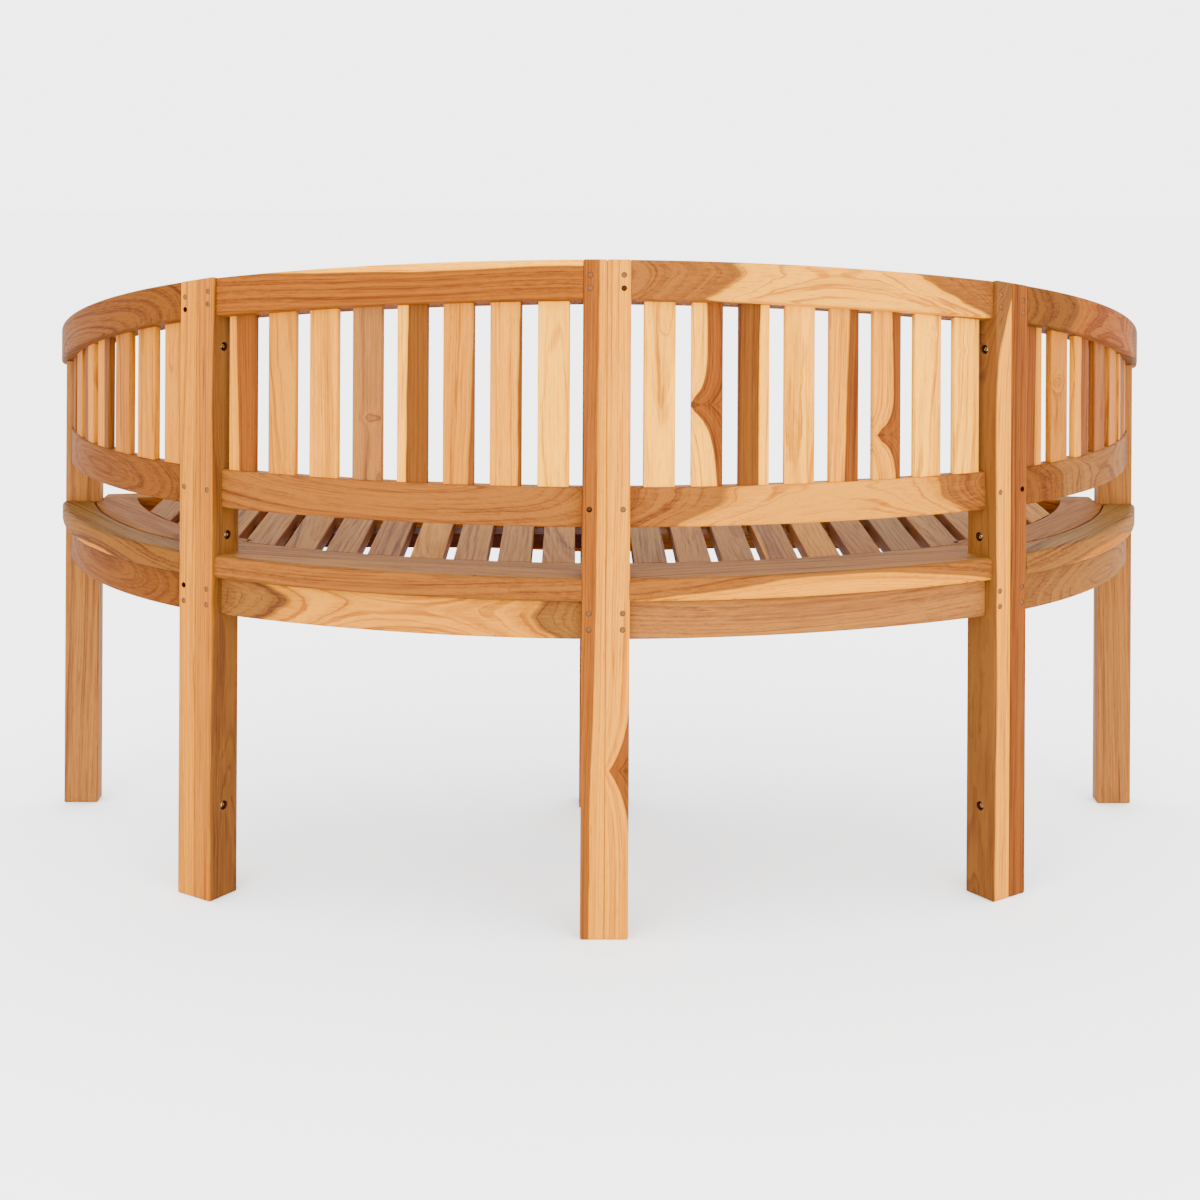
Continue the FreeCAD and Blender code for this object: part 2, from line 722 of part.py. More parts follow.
def rail(name, label, center, radius_text, radius, setback_name, depth_name, base, height,
         start, end, sides, tags, key, extra_tools, slab, extra_parts=()):
    """A curved rail or apron between two posts, with its tenons and its mortises."""
    setback, depth = size(setback_name), size(depth_name)
    outer = ring("%s - Sizes.%s" % (radius_text, setback_name), radius - setback)
    inner = ring("%s - Sizes.%s - Sizes.%s" % (radius_text, setback_name, depth_name),
                 radius - setback - depth)
    board = arc_body(name, center, outer, inner, start, end, base, height)
    if extra_parts:
        board = union(name + "Ends", [board] + list(extra_parts))
    if slab:
        board = common(name + "Slab", [board, slab])
    trimmed = cut(name + "Trim", board, list(sides))
    rows = [row for row in joints + end_joints if row[1] == key and row[0] in tags]
    tenons = [tenon(row[0] + "Tenon", *row[2:]) for row in rows]
    joined = union(name + "Joined", [trimmed] + tenons)
    holes = list(extra_tools)
    for row in rows:
        holes += peg_holes.get(row[0], [])
    finished = cut(name + "Holes", joined, holes) if holes else joined
    both(finished, name, label)
    return finished


arm_y = far_y + size("arm_reach") - top_depth / 2
top_low = underside(far_y + size("arm_reach")) - rail_height
top_span = size("back_height") + post_depth - top_low
center_sides = (center_side, inner_side)
rail("TopRailCenter", "top_rail_center_%s", back_center, "Sizes.back_radius", back_radius,
     "rail_setback", "top_rail_depth", top_low, top_span, corner_end, center_end, center_sides,
     ("CenterPostTop", "InnerPostTop"), "top", center_stub_holes, rail_slab)

# The end rail passes over the end post and finishes in a rounded arm end
arm_line = arm_radius - rail_setback - top_depth / 2
arm_x = arm_center.x - math.sqrt(arm_line ** 2 - (arm_y - arm_center.y) ** 2)
arm_spot = Vector(arm_x, arm_y, 0)
arm_angle = angle_of(arm_center, arm_spot)
arm_outer_end = angle_of(arm_center, at(corner_frame, -post_width / 2, post_depth / 2))
arm_end = cylinder("ArmEnd", "Sizes.top_rail_depth / 2", top_span,
                   place(arm_spot.x, arm_spot.y, top_low))
rail("TopRailEnd", "top_rail_end_%s", arm_center, "Sizes.arm_radius", arm_radius,
     "rail_setback", "top_rail_depth", top_low, top_span, arm_angle, arm_outer_end,
     (outer_side,), ("OuterPostTop",), "top", end_stub_holes + [post_mortise], rail_slab,
     (arm_end,))

rail("LowRailCenter", "back_rail_center_%s", back_center, "Sizes.back_radius", back_radius,
     "board_setback", "low_rail_depth", low_base, "Sizes.low_rail_height", corner_end,
     center_end, center_sides, ("CenterPostLow", "InnerPostLow"), "low", center_stub_holes, None)
rail("LowRailEnd", "back_rail_end_%s", end_center, "Sizes.end_radius", end_radius,
     "board_setback", "low_rail_depth", low_base, "Sizes.low_rail_height", last_end, outer_end,
     (outer_side, near_side), ("OuterPostLow", "EndPostLow"), "low", end_stub_holes, None)
center_apron = rail("ApronCenter", "apron_center_%s", back_center, "Sizes.back_radius",
                    back_radius, "board_setback", "apron_depth", apron_low,
                    "Sizes.apron_height", corner_end, center_end, center_sides,
                    ("CenterPostApron", "InnerPostApron"), "apron", [], None)
end_apron = rail("ApronEnd", "apron_end_%s", end_center, "Sizes.end_radius", end_radius,
                 "board_setback", "apron_depth", apron_low, "Sizes.apron_height", last_end,
                 outer_end, (outer_side, near_side), ("OuterPostApron", "EndPostApron"),
                 "apron", [], None)

# Front apron, which ends at the leg and at the inner face of the end post
outside_end = box("OutsideEnd", reach, 2 * reach, reach, place(end_edge.x - reach, -reach, 0))
front_start = angle_of(front_center, leg_edge + Vector(post_width / 2, 0, 0))
front_stop = angle_of(front_center, end_edge - Vector(post_width / 2, 0, 0))
front_board = arc_body("FrontApron", front_center, (None, front_radius),
                       (None, front_radius - front_depth), front_start, front_stop, front_low,
                       "Sizes.front_apron_height")
front_trim = cut("FrontApronTrim", front_board, [leg_notch, end_notch, outside_end])
front_apron = union("FrontApronJoined", [front_trim, tenon("LegFrontTenon", *leg_joint[2:]),
                                         end_front_tenon])
both(front_apron, "FrontApron", "apron_front_%s")

# Seat boards. Half spaces that end them at the middle, at the seams and at the end post
rim_thickness = size("rim_thickness")
beyond_center = box("BeyondCenter", reach, 2 * reach, reach, place(0, -reach, 0))
beyond_seam = box("BeyondSeam", reach, 2 * reach, reach, local(corner_frame, -reach, -reach, 0))
before_seam = box("BeforeSeam", reach, 2 * reach, reach, local(corner_frame, 0, -reach, 0))

rim_width = size("rim_width")
end_rim_width = size("end_rim_width")
board_joint = size("board_joint")
end_board_side = box("EndBoardSide", reach, reach, reach,
                     place(end_edge.x + board_joint - reach, near_y, 0))
end_board_radius = end_radius - end_rim_width - board_joint
end_board_inner = end_board_radius - size("end_board_width")
front_rim_inner = front_rim_outer - size("front_rim_width")
rim_first = angle_of(front_rim_center, rim_start)
rim_last = angle_of(front_rim_center, rim_stop)

rear_rim = arc_body("RearRim", back_center, ("Sizes.back_radius", back_radius),
                    ("Sizes.back_radius - Sizes.rim_width", back_radius - rim_width),
                    past_corner, past_center, board_base, "Sizes.rim_thickness",
                    "Sizes.rim_round")
end_rim = arc_body("EndRim", end_center, ("Sizes.end_radius", end_radius),
                   ("Sizes.end_radius - Sizes.end_rim_width", end_radius - end_rim_width),
                   last_end - 5, past_outer, board_base, "Sizes.rim_thickness",
                   "Sizes.rim_round")
end_board = arc_body("EndBoard", end_center, (None, end_board_radius),
                     (None, end_board_inner), last_end - 10, past_outer, board_base,
                     "Sizes.rim_thickness")
front_rim = arc_body("FrontRim", front_rim_center, (None, front_rim_outer),
                     (None, front_rim_inner), rim_first - 2, rim_last + 2, board_base,
                     "Sizes.rim_thickness", "Sizes.rim_round")

# Seat slats: long boxes cut to the inner edges of the rims, with stub tenons into them
slat_thickness = size("seat_slat_thickness")
seat_slat_width = size("seat_slat_width")
seat_gap = size("seat_slat_gap")
half_center = size("center_slat_width") / 2
slat_base = seat_height - slat_thickness


def seat_field(name, center, radius, base=0.0):
    return cylinder(name, radius, 2 * seat_height, place(center.x, center.y, base))


rear_field = seat_field("RearField", back_center, back_radius - rim_width)
end_field = seat_field("EndField", end_center, end_board_inner)
front_field = seat_field("FrontField", front_rim_center, front_rim_inner)
rear_field_right = mirror("RearFieldMirror", rear_field)
front_field_right = mirror("FrontFieldMirror", front_field)

inner_seam = at(corner_frame, 0, rim_width)


def edge_y(center, radius, x, way):
    """World y of an arc at a world x, on its rear side (way -1) or front side (way 1)."""
    return center.y + way * math.sqrt(max(radius ** 2 - (x - center.x) ** 2, 0))


seat_limit = -(end_center.x - math.sqrt(end_board_inner ** 2 - (end_center.y - near_y) ** 2))
stub_thickness = slat_thickness - 2 * stub_shoulder
seat_slats = []
rear_stub_holes, end_stub_seats, front_stub_holes = [], [], []
position = half_center + seat_gap
while position + seat_slat_width < seat_limit:
    index = len(seat_slats) + 1
    name = "SeatSlat%d" % index
    right, left = -position, -position - seat_slat_width
    middle = (right + left) / 2
    on_end = left + seat_slat_width / 4 < inner_seam.x
    center, radius, field = back_center, back_radius - rim_width, rear_field
    if on_end:
        center, radius, field = end_center, end_board_inner, end_field
    plank = box(name, "Sizes.seat_slat_width", depth, "Sizes.seat_slat_thickness",
                place(left, back_y, slat_base))
    shaped = common(name + "Shaped", [plank, field, front_field])
    stub_width = seat_slat_width - 2 * stub_shoulder
    rear = min(edge_y(center, radius, left + stub_shoulder, -1),
               edge_y(center, radius, right - stub_shoulder, -1)) - stub / 2
    front = max(edge_y(front_rim_center, front_rim_inner, left + stub_shoulder, 1),
                edge_y(front_rim_center, front_rim_inner, right - stub_shoulder, 1)) + stub / 2
    tongue = box(name + "Tongue", stub_width, front - rear, stub_thickness,
                 place(left + stub_shoulder, rear, slat_base + stub_shoulder))
    hole = box(name + "TongueHole", stub_width + 2 * clearance, front - rear + 2 * clearance,
               stub_thickness + 2 * clearance,
               place(left + stub_shoulder - clearance, rear - clearance,
                     slat_base + stub_shoulder - clearance))
    seat_slats.append(union(name + "Joined", [shaped, tongue]))
    (end_stub_seats if on_end else rear_stub_holes).append(hole)
    front_stub_holes.append(hole)
    position += seat_slat_width + seat_gap

# Middle slat, across both halves
middle_plank = box("MiddleSlat", "Sizes.center_slat_width", depth,
                   "Sizes.seat_slat_thickness", place(-half_center, back_y, slat_base))
middle_shaped = common("MiddleSlatShaped", [middle_plank, rear_field, rear_field_right,
                                            front_field, front_field_right])
middle_rear = edge_y(back_center, back_radius - rim_width, 0, -1) - stub / 2
middle_front = edge_y(front_rim_center, front_rim_inner, 0, 1) + stub / 2
middle_tongue = box("MiddleTongue", 2 * (half_center - stub_shoulder),
                    middle_front - middle_rear, stub_thickness,
                    place(stub_shoulder - half_center, middle_rear, slat_base + stub_shoulder))
middle_hole = box("MiddleTongueHole", 2 * (half_center - stub_shoulder + clearance),
                  middle_front - middle_rear + 2 * clearance, stub_thickness + 2 * clearance,
                  place(stub_shoulder - half_center - clearance, middle_rear - clearance,
                        slat_base + stub_shoulder - clearance))
middle_slat = union("MiddleSlatJoined", [middle_shaped, middle_tongue])

rear_rim_cut = cut("RearRimCut", rear_rim, [center_notch, corner_notch, beyond_center,
                                            beyond_seam, middle_hole] + rear_stub_holes)
both(rear_rim_cut, "RearRim", "seat_rim_center_%s")
end_rim_cut = cut("EndRimCut", end_rim, [outer_side, near_side])
both(end_rim_cut, "EndRim", "seat_rim_end_%s")
end_board_field = common("EndBoardField", [end_board, front_field])
end_board_cut = cut("EndBoardCut", end_board_field,
                    [corner_notch, end_notch, before_seam, end_board_side] + end_stub_seats)
both(end_board_cut, "EndBoard", "seat_board_end_%s")
front_rim_cut = cut("FrontRimCut", front_rim, [beyond_center, outside_end, middle_hole]
                    + front_stub_holes)
both(front_rim_cut, "FrontRim", "seat_rim_front_%s")

node(middle_slat, "seat_slat_middle")
for i, slat in enumerate(seat_slats, 1):
    pair = group("SeatSlatPair%d" % i, [slat, mirror("SeatSlat%dMirror" % i, slat)])
    node(pair, "seat_slats_pair_%02d" % i)

# Bearers and battens under the seat
center_bearer_box = box("CenterBearer", "Sizes.bearer_width", bearer_length,
                        "Sizes.bearer_height", place(bearer_x, bearer_start, bearer_low))
center_bearer = union("CenterBearerJoined", [center_bearer_box, bearer_tenon])
both(center_bearer, "CenterBearer", "seat_bearer_center_%s")

seam = at(corner_frame, 0, post_depth)
side_box = box("SideBearer", "Sizes.bearer_width", depth, "Sizes.bearer_height",
               place(seam.x - bearer_width / 2, seam.y - bearer_width, bearer_low))
front_inside = seat_field("FrontInside", front_center, front_radius - front_depth)
side_field = common("SideBearerField", [side_box, front_inside])
side_bearer = cut("SideBearerCut", side_field, [corner_notch])
both(side_bearer, "SideBearer", "seat_bearer_side_%s")

# End bearer: a chord under the curved board, from the corner post to the end post
chord_start = at(corner_frame, -post_width, post_depth)
chord_end = at(end_frame, 0, post_depth)
chord = chord_end - chord_start
chord_turn = math.degrees(math.atan2(chord.y, chord.x))
end_box = box("EndBearer", chord.Length + 2 * post_width, "Sizes.bearer_width",
              "Sizes.bearer_height",
              place(chord_start.x, chord_start.y, bearer_low, chord_turn).multiply(
                  place(-post_width, -bearer_width)))
end_field_all = seat_field("EndBearerField", end_center,
                           end_radius - board_setback - apron_depth)
end_bearer_field = common("EndBearerTrim", [end_box, end_field_all, front_inside])
beyond_side = box("BeyondSide", reach, 2 * reach, reach,
                  place(seam.x - bearer_width / 2, -reach))
end_bearer = cut("EndBearerCut", end_bearer_field, [corner_notch, end_notch, outside_end,
                                                   beyond_side])
both(end_bearer, "EndBearer", "seat_bearer_end_%s")

batten_low = slat_base - size("batten_height")
batten_right = bearer_x
batten_left = seam.x + bearer_width / 2
batten = box("CenterBatten", batten_right - batten_left, "Sizes.batten_width",
             "Sizes.batten_height",
             place(batten_left, back_y + size("batten_set") - size("batten_width") / 2,
                   batten_low))
both(batten, "CenterBatten", "seat_batten_center_%s")
end_batten_box = box("EndBatten", size("end_offset") + seam.x, "Sizes.batten_width",
                     "Sizes.batten_height",
                     place(end_frame.Base.x - bearer_width / 2,
                           back_y + size("end_batten_set") - size("batten_width") / 2,
                           batten_low))
beyond_chord = box("BeyondChord", reach, reach, reach,
                   place(chord_start.x, chord_start.y, 0, chord_turn).multiply(
                       place(-reach / 2, -bearer_width)))
end_batten = cut("EndBattenCut", end_batten_box, [beyond_chord, end_bearer, end_board])
node(group("EndBattens", [end_batten, mirror("EndBattenRight", end_batten)]),
     "seat_battens_end")

# Fasteners: one sub-part for each kind
peg_group = group("PegsLeft", peg_pins)
node(group("Pegs", [peg_group, mirror("PegsRight", peg_group)]), "joint_pegs")
corner_bolts = group("CornerBolts", bolt_parts["Corner"])
bolt_set = bolt_parts["Center"] + bolt_parts["Leg"]
node(group("Bolts", bolt_set + [corner_bolts, mirror("CornerBoltsRight", corner_bolts)]),
     "post_bolts")
corner_nuts = group("CornerNuts", nut_parts["Corner"])
nut_set = nut_parts["Center"] + nut_parts["Leg"]
node(group("Nuts", nut_set + [corner_nuts, mirror("CornerNutsRight", corner_nuts)]), "post_nuts")

doc.recompute()

# Check the document before anything is written
for obj in doc.Objects:
    if "Invalid" in obj.State or "Error" in obj.State:
        raise RuntimeError("%s failed: %s" % (obj.Name, obj.State))
for obj in nodes:
    shape = obj.Shape
    if shape.isNull() or not shape.isValid() or not shape.Solids:
        raise RuntimeError("%s has no valid solid" % obj.Label)

os.makedirs("parts", exist_ok=True)
for obj in nodes:
    obj.Shape.exportStep("parts/%s.step" % obj.Label)
print("%d sub-parts" % len(nodes))
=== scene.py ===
from functools import lru_cache
import math

import bmesh
import bpy
import numpy as np
from mathutils import Matrix, Vector


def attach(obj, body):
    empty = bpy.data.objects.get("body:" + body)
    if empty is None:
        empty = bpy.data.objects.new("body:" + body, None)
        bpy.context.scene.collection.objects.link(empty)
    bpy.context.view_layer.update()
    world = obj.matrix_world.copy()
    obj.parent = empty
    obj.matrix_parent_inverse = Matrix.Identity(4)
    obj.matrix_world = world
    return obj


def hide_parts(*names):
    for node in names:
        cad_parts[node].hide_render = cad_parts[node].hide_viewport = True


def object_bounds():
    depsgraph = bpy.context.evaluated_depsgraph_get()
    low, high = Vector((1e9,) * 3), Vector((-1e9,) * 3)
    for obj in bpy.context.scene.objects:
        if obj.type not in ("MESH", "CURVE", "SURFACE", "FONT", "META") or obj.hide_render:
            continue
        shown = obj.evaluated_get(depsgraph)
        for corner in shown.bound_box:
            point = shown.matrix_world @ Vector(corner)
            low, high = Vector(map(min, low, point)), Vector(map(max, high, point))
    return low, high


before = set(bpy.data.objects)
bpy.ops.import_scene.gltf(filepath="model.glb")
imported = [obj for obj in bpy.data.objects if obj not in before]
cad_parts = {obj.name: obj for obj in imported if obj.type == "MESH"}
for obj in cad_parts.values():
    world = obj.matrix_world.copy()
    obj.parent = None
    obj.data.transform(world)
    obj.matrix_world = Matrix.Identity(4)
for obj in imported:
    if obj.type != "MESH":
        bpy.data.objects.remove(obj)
cad_low, cad_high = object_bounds()

# Half-round slatted garden bench in solid teak. The back stands on its outer, convex side.
# Metres. Seen from behind, X runs to the right, Y from the back to the front edge, and Z up.
# The left half is laid out here, and each right-hand piece is its mirror image in other boards.

# Sizes
BACK_Y = cad_low.y
BACK_HEIGHT = cad_high.z
BACK_FALL = math.radians(15.4)
POST_WIDTH = 0.030
POST_DEPTH = 0.050
CORNER_INSET = 0.0055
BACK_RADIUS = 1.149
END_RADIUS = 0.620
ARM_RADIUS = 0.632
ARM_REACH = 0.022
RAIL_SETBACK = 0.0005
BOARD_SETBACK = 0.012
TOP_RAIL_DEPTH = 0.042
TOP_RAIL_HEIGHT = 0.048
LOW_RAIL_BASE = 0.511
LOW_RAIL_HEIGHT = 0.050
LOW_RAIL_DEPTH = 0.020
BACK_SLAT_WIDTH = 0.040
BACK_SLAT_DEPTH = 0.010
BACK_SLAT_INSET = 0.015
BACK_SLAT_GAP = 0.0203
SLAT_POST_GAP = 0.0165
SEAT_HEIGHT = 0.450
RIM_THICKNESS = 0.030
RIM_WIDTH = 0.091
RIM_ROUND = 0.006
END_RIM_WIDTH = 0.045
END_BOARD_WIDTH = 0.062
BOARD_JOINT = 0.002
FRONT_BOW = 0.038
FRONT_RIM_WIDTH = 0.042
FRONT_RIM_BOW = 0.034
FRONT_OVERHANG = 0.015
CORNER_OVERHANG = 0.033
SEAT_SLAT_WIDTH = 0.0435
CENTER_SLAT_WIDTH = 0.048
SEAT_SLAT_GAP = 0.014
SEAT_SLAT_THICKNESS = 0.020
APRON_HEIGHT = 0.049
APRON_DEPTH = 0.025
FRONT_APRON_HEIGHT = 0.044
FRONT_APRON_DEPTH = 0.030
PEG_DIAMETER = 0.007
COUNTERBORE_DIAMETER = 0.012
COUNTERBORE_DEPTH = 0.006
BORE_PLAY = 0.0003
FLOOR_REACH = 20

# Rounding of the long edges
POST_EASE = 0.0022
TOP_RAIL_EASE = 0.0035
RAIL_EASE = 0.0028
BOARD_EASE = 0.0020
SLAT_EASE = 0.0018
RIM_EASE = (0.0015, 0.0015, RIM_ROUND, RIM_ROUND)
LEAST_EASE = 0.0002
EASE_STEPS = 3

# Steps along a board, and the rounding of its two ends
POST_STEPS = 1
RAIL_STEPS = 26
ARM_STEPS = 24
SLAT_STEPS = 4
POST_ENDS = (0.0022, 0.0018)
RAIL_ENDS = (0.0008, 0.0008)
BACK_SLAT_ENDS = (0.0004, 0.0004)
SEAT_SLAT_ENDS = (0.0006, 0.0006)
# Stations round the arm end, in shares of a quarter turn
ARM_NOSE = (0.985, 0.93, 0.85, 0.75, 0.62, 0.48, 0.32, 0.16, 0.0)

# How the meshes are made
SHARP_BOARD = math.radians(42)
SHARP_METAL = math.radians(35)
TURNING_SIDES = 24
SAME_POINT = 0.00002
HALVINGS = 36
SEAT_MIDDLE = np.array((0.0, 0.25))
# How a board's end is rounded, in shares of the rounding: along the board, and inwards
END_PROFILE = ((0.0, 1.0), (0.29, 0.29), (1.0, 0.0))
# A face is in a bore when it is smaller than LEAST_FLAT, in square metres, and lies within
# these shares of the bore's length and diameter
LEAST_FLAT = 0.00012
BORE_LENGTH = 0.99
BORE_REACH = 0.51
# No wood lies as far out as NO_MARK, and the boards' logs lie LOG_SPACING apart
NO_MARK = 9.0
LOG_SPACING = 3.1

BOARD_BASE = SEAT_HEIGHT - RIM_THICKNESS
SLAT_BASE = SEAT_HEIGHT - SEAT_SLAT_THICKNESS
APRON_BASE = BOARD_BASE - APRON_HEIGHT
LOW_RAIL_TOP = LOW_RAIL_BASE + LOW_RAIL_HEIGHT
SIDES = ("left", "right")
UP = (0.0, 0.0, 1.0)


# Colours of sanded teak, linear, from the sapwood to the darkest heartwood and a dark red of
# painted shade, what darkens them, partly as painted shade, and the colours of the fittings
SAPWOOD = (0.80, 0.33, 0.004)
CREAM = (0.77, 0.31, 0.002)
STRAW = (0.62, 0.243, 0.006)
GOLD = (0.55, 0.198, 0.002)
BUFF = (0.455, 0.166, 0.007)
SAND = (0.414, 0.142, 0.003)
TAN = (0.31, 0.100, 0.005)
ROSE = (0.234, 0.088, 0.017)
WHEAT = (0.215, 0.075, 0.012)
FAWN = (0.19, 0.062, 0.009)
HONEY = (0.19, 0.054, 0.005)
HAZEL = (0.163, 0.062, 0.011)
AMBER = (0.158, 0.042, 0.004)
BROWN = (0.120, 0.036, 0.004)
OLIVE = (0.130, 0.046, 0.007)
CHESTNUT = (0.108, 0.035, 0.0045)
UMBER = (0.055, 0.017, 0.003)
# A dark red of painted shade, for the bore walls and the left half of the frame under the seat
PAINTED_SHADE_RED = (0.050, 0.008, 0.002)
HEART_DARKENING = (0.44, 0.345, 0.60)
SAP_DARKENING = (0.55, 0.42, 0.60)
# For upper faces: a weathering grey, and painted shade of their weak top light
WEATHERING_AND_TOP_SHADE = (0.72, 0.85, 0.95)
# Painted shade of the seat boards' sides, which stand in the gaps between them
PAINTED_SIDE_SHADE = (0.05, 0.010, 0.003)
PEG_PALE = (0.150, 0.062, 0.022)
PEG_DARK = (0.055, 0.020, 0.007)
ZINC = (0.40, 0.29, 0.12)
# Dark plate: a painted reflection of dark surroundings
ZINC_DARK_REFLECTION = (0.06, 0.030, 0.011)


# The floor plan: post places and arcs


def spot(x, y):
    return np.array((x, y), float)


class Place:
    """A post's place on the plan: X along the outer face of the back, Y inwards."""

    def __init__(self, x, y, turn):
        angle = math.radians(turn)
        self.origin = spot(x, y)
        self.along = spot(math.cos(angle), math.sin(angle))
        self.inward = spot(-math.sin(angle), math.cos(angle))

    def at(self, x, y):
        return self.origin + x * self.along + y * self.inward

    def x_of(self, point):
        return float((point - self.origin) @ self.along)


def circle_center(first, second, radius):
    """Centre of the circle through two points, on the left, or on the right when radius < 0."""
    chord = second - first
    span = math.hypot(*chord)
    normal = spot(-chord[1], chord[0]) / span
    rise = math.copysign(math.sqrt(radius ** 2 - span ** 2 / 4), radius)
    return first + chord / 2 + normal * rise


def bowed(first, second, bow):
    """Radius and centre of the arc that bows out towards the front from first to second."""
    span = math.hypot(*(second - first))
    radius = (span ** 2 / 4 + bow ** 2) / (2 * bow)
    return radius, circle_center(second, first, -radius)


def angle_of(center, point):
    return math.atan2(point[1] - center[1], point[0] - center[0]) % (2 * math.pi)


def underside(y):
    """Height of the top rail's underside."""
    return BACK_HEIGHT - (y - BACK_Y) * math.tan(BACK_FALL) - TOP_RAIL_HEIGHT / math.cos(BACK_FALL)


center_place = Place(0, BACK_Y, 0)
corner_place = Place(-0.536, BACK_Y + 0.138, -35.3)
end_place = Place(-0.798, BACK_Y + 0.520, -90)
leg_place = Place(0, BACK_Y + 0.483, 0)

back_center = circle_center(corner_place.at(POST_WIDTH, CORNER_INSET),
                            center_place.at(-POST_WIDTH, 0), BACK_RADIUS)
end_center = corner_place.at(-POST_WIDTH, END_RADIUS)
arm_center = corner_place.at(-POST_WIDTH, ARM_RADIUS)
leg_edge = leg_place.at(-POST_WIDTH, POST_DEPTH)
end_edge = end_place.at(-POST_WIDTH / 2, POST_DEPTH)
front_radius, front_center = bowed(leg_edge, end_edge, FRONT_BOW)
rim_stop = end_edge + spot(0, CORNER_OVERHANG)
rim_start = leg_place.at(0, POST_DEPTH + FRONT_OVERHANG)
front_rim_outer, front_rim_center = bowed(rim_start, rim_stop, FRONT_RIM_BOW)
front_rim_inner = front_rim_outer - FRONT_RIM_WIDTH
near_y = end_place.at(POST_WIDTH / 2, 0)[1]
far_y = end_place.at(-POST_WIDTH / 2, 0)[1]
end_board_outer = END_RADIUS - END_RIM_WIDTH - BOARD_JOINT
end_board_inner = end_board_outer - END_BOARD_WIDTH


def meets(center, inside, outside, beyond):
    """For circles round center, the angle where each one passes a limit between two angles."""

    @lru_cache(maxsize=None)
    def angle(radius):
        near, far = inside, outside
        for _ in range(HALVINGS):
            halfway = (near + far) / 2
            point = center + radius * spot(math.cos(halfway), math.sin(halfway))
            if beyond(point):
                far = halfway
            else:
                near = halfway
        return near

    return angle


# Ways to lay a board. Each takes a share of its length, a distance from that share,
# and a place in its section, and gives the world point.


def level(base):
    return lambda y, b: base + b


def falling(y, b):
    return underside(y) + b / math.cos(BACK_FALL)


def bent(center, radius, first, last, height):
    """A board sawn to an arc, a inwards from radius and b up."""

    def lay(share, offset, a, b):
        r = round(radius - a, 7)
        start, stop = first(r), last(r)
        angle = start + share * (stop - start) + offset / r
        x, y = center + r * spot(math.cos(angle), math.sin(angle))
        return x, y, height(y, b)

    return lay


def upright(place, left, near, base, top):
    """A post or back slat: a along the back, b inwards."""

    def lay(share, offset, a, b):
        x, y = place.at(left + a, near + b)
        return x, y, base + share * (top(y) - base) + offset

    return lay


def crosswise(left, base, rear, front):
    """A seat slat between two curved edges: a to the right, b up."""

    def lay(share, offset, a, b):
        x = left + a
        y = rear(x) + share * (front(x) - rear(x)) + offset
        return x, y, base + b

    return lay


# Boards and the trees that they were sawn from


class Board:
    """Where a board lay in its log, and how its wood is marked.
    pith is the log's middle across the board's width and thickness, from the board's middle.
    Wood further from the pith than the board's middle by more than sap has the pale colour.
    A knot has its place along and across the board, and its size."""

    def __init__(self, colour, pith, sap=None, knot=None, sway=0.02, seed=0.0, pale=SAPWOOD):
        self.colour = colour
        self.pale = pale
        self.pith = pith
        self.sap = NO_MARK if sap is None else math.hypot(*pith) + sap
        self.knot = (NO_MARK, NO_MARK, 1.0) if knot is None else knot
        self.sway = sway
        self.seed = seed


def section(width, height, rounds, inset):
    """A rectangle with rounded corners, drawn in by inset.
    rounds are for the corners far low, far high, near high and near low."""
    corners = ((1, 0, -90), (1, 1, 0), (0, 1, 90), (0, 0, 180))
    points = []
    for (far, high, first), radius in zip(corners, rounds):
        r = max(radius - inset, LEAST_EASE)
        x = width - inset - r if far else inset + r
        y = height - inset - r if high else inset + r
        for step in range(EASE_STEPS + 1):
            angle = math.radians(first + 90 * step / EASE_STEPS)
            points.append((x + r * math.cos(angle), y + r * math.sin(angle)))
    return points


def stand(name, mesh):
    """Put a finished bmesh into the scene."""
    bmesh.ops.recalc_face_normals(mesh, faces=mesh.faces)
    data = bpy.data.meshes.new(name + "_mesh")
    mesh.to_mesh(data)
    mesh.free()
    piece = bpy.data.objects.new(name, data)
    bpy.context.scene.collection.objects.link(piece)
    return piece


def declare(piece, node):
    """The piece rides on the bench and stands in for a CAD node, which is hidden."""
    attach(piece, "root")
    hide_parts(node)


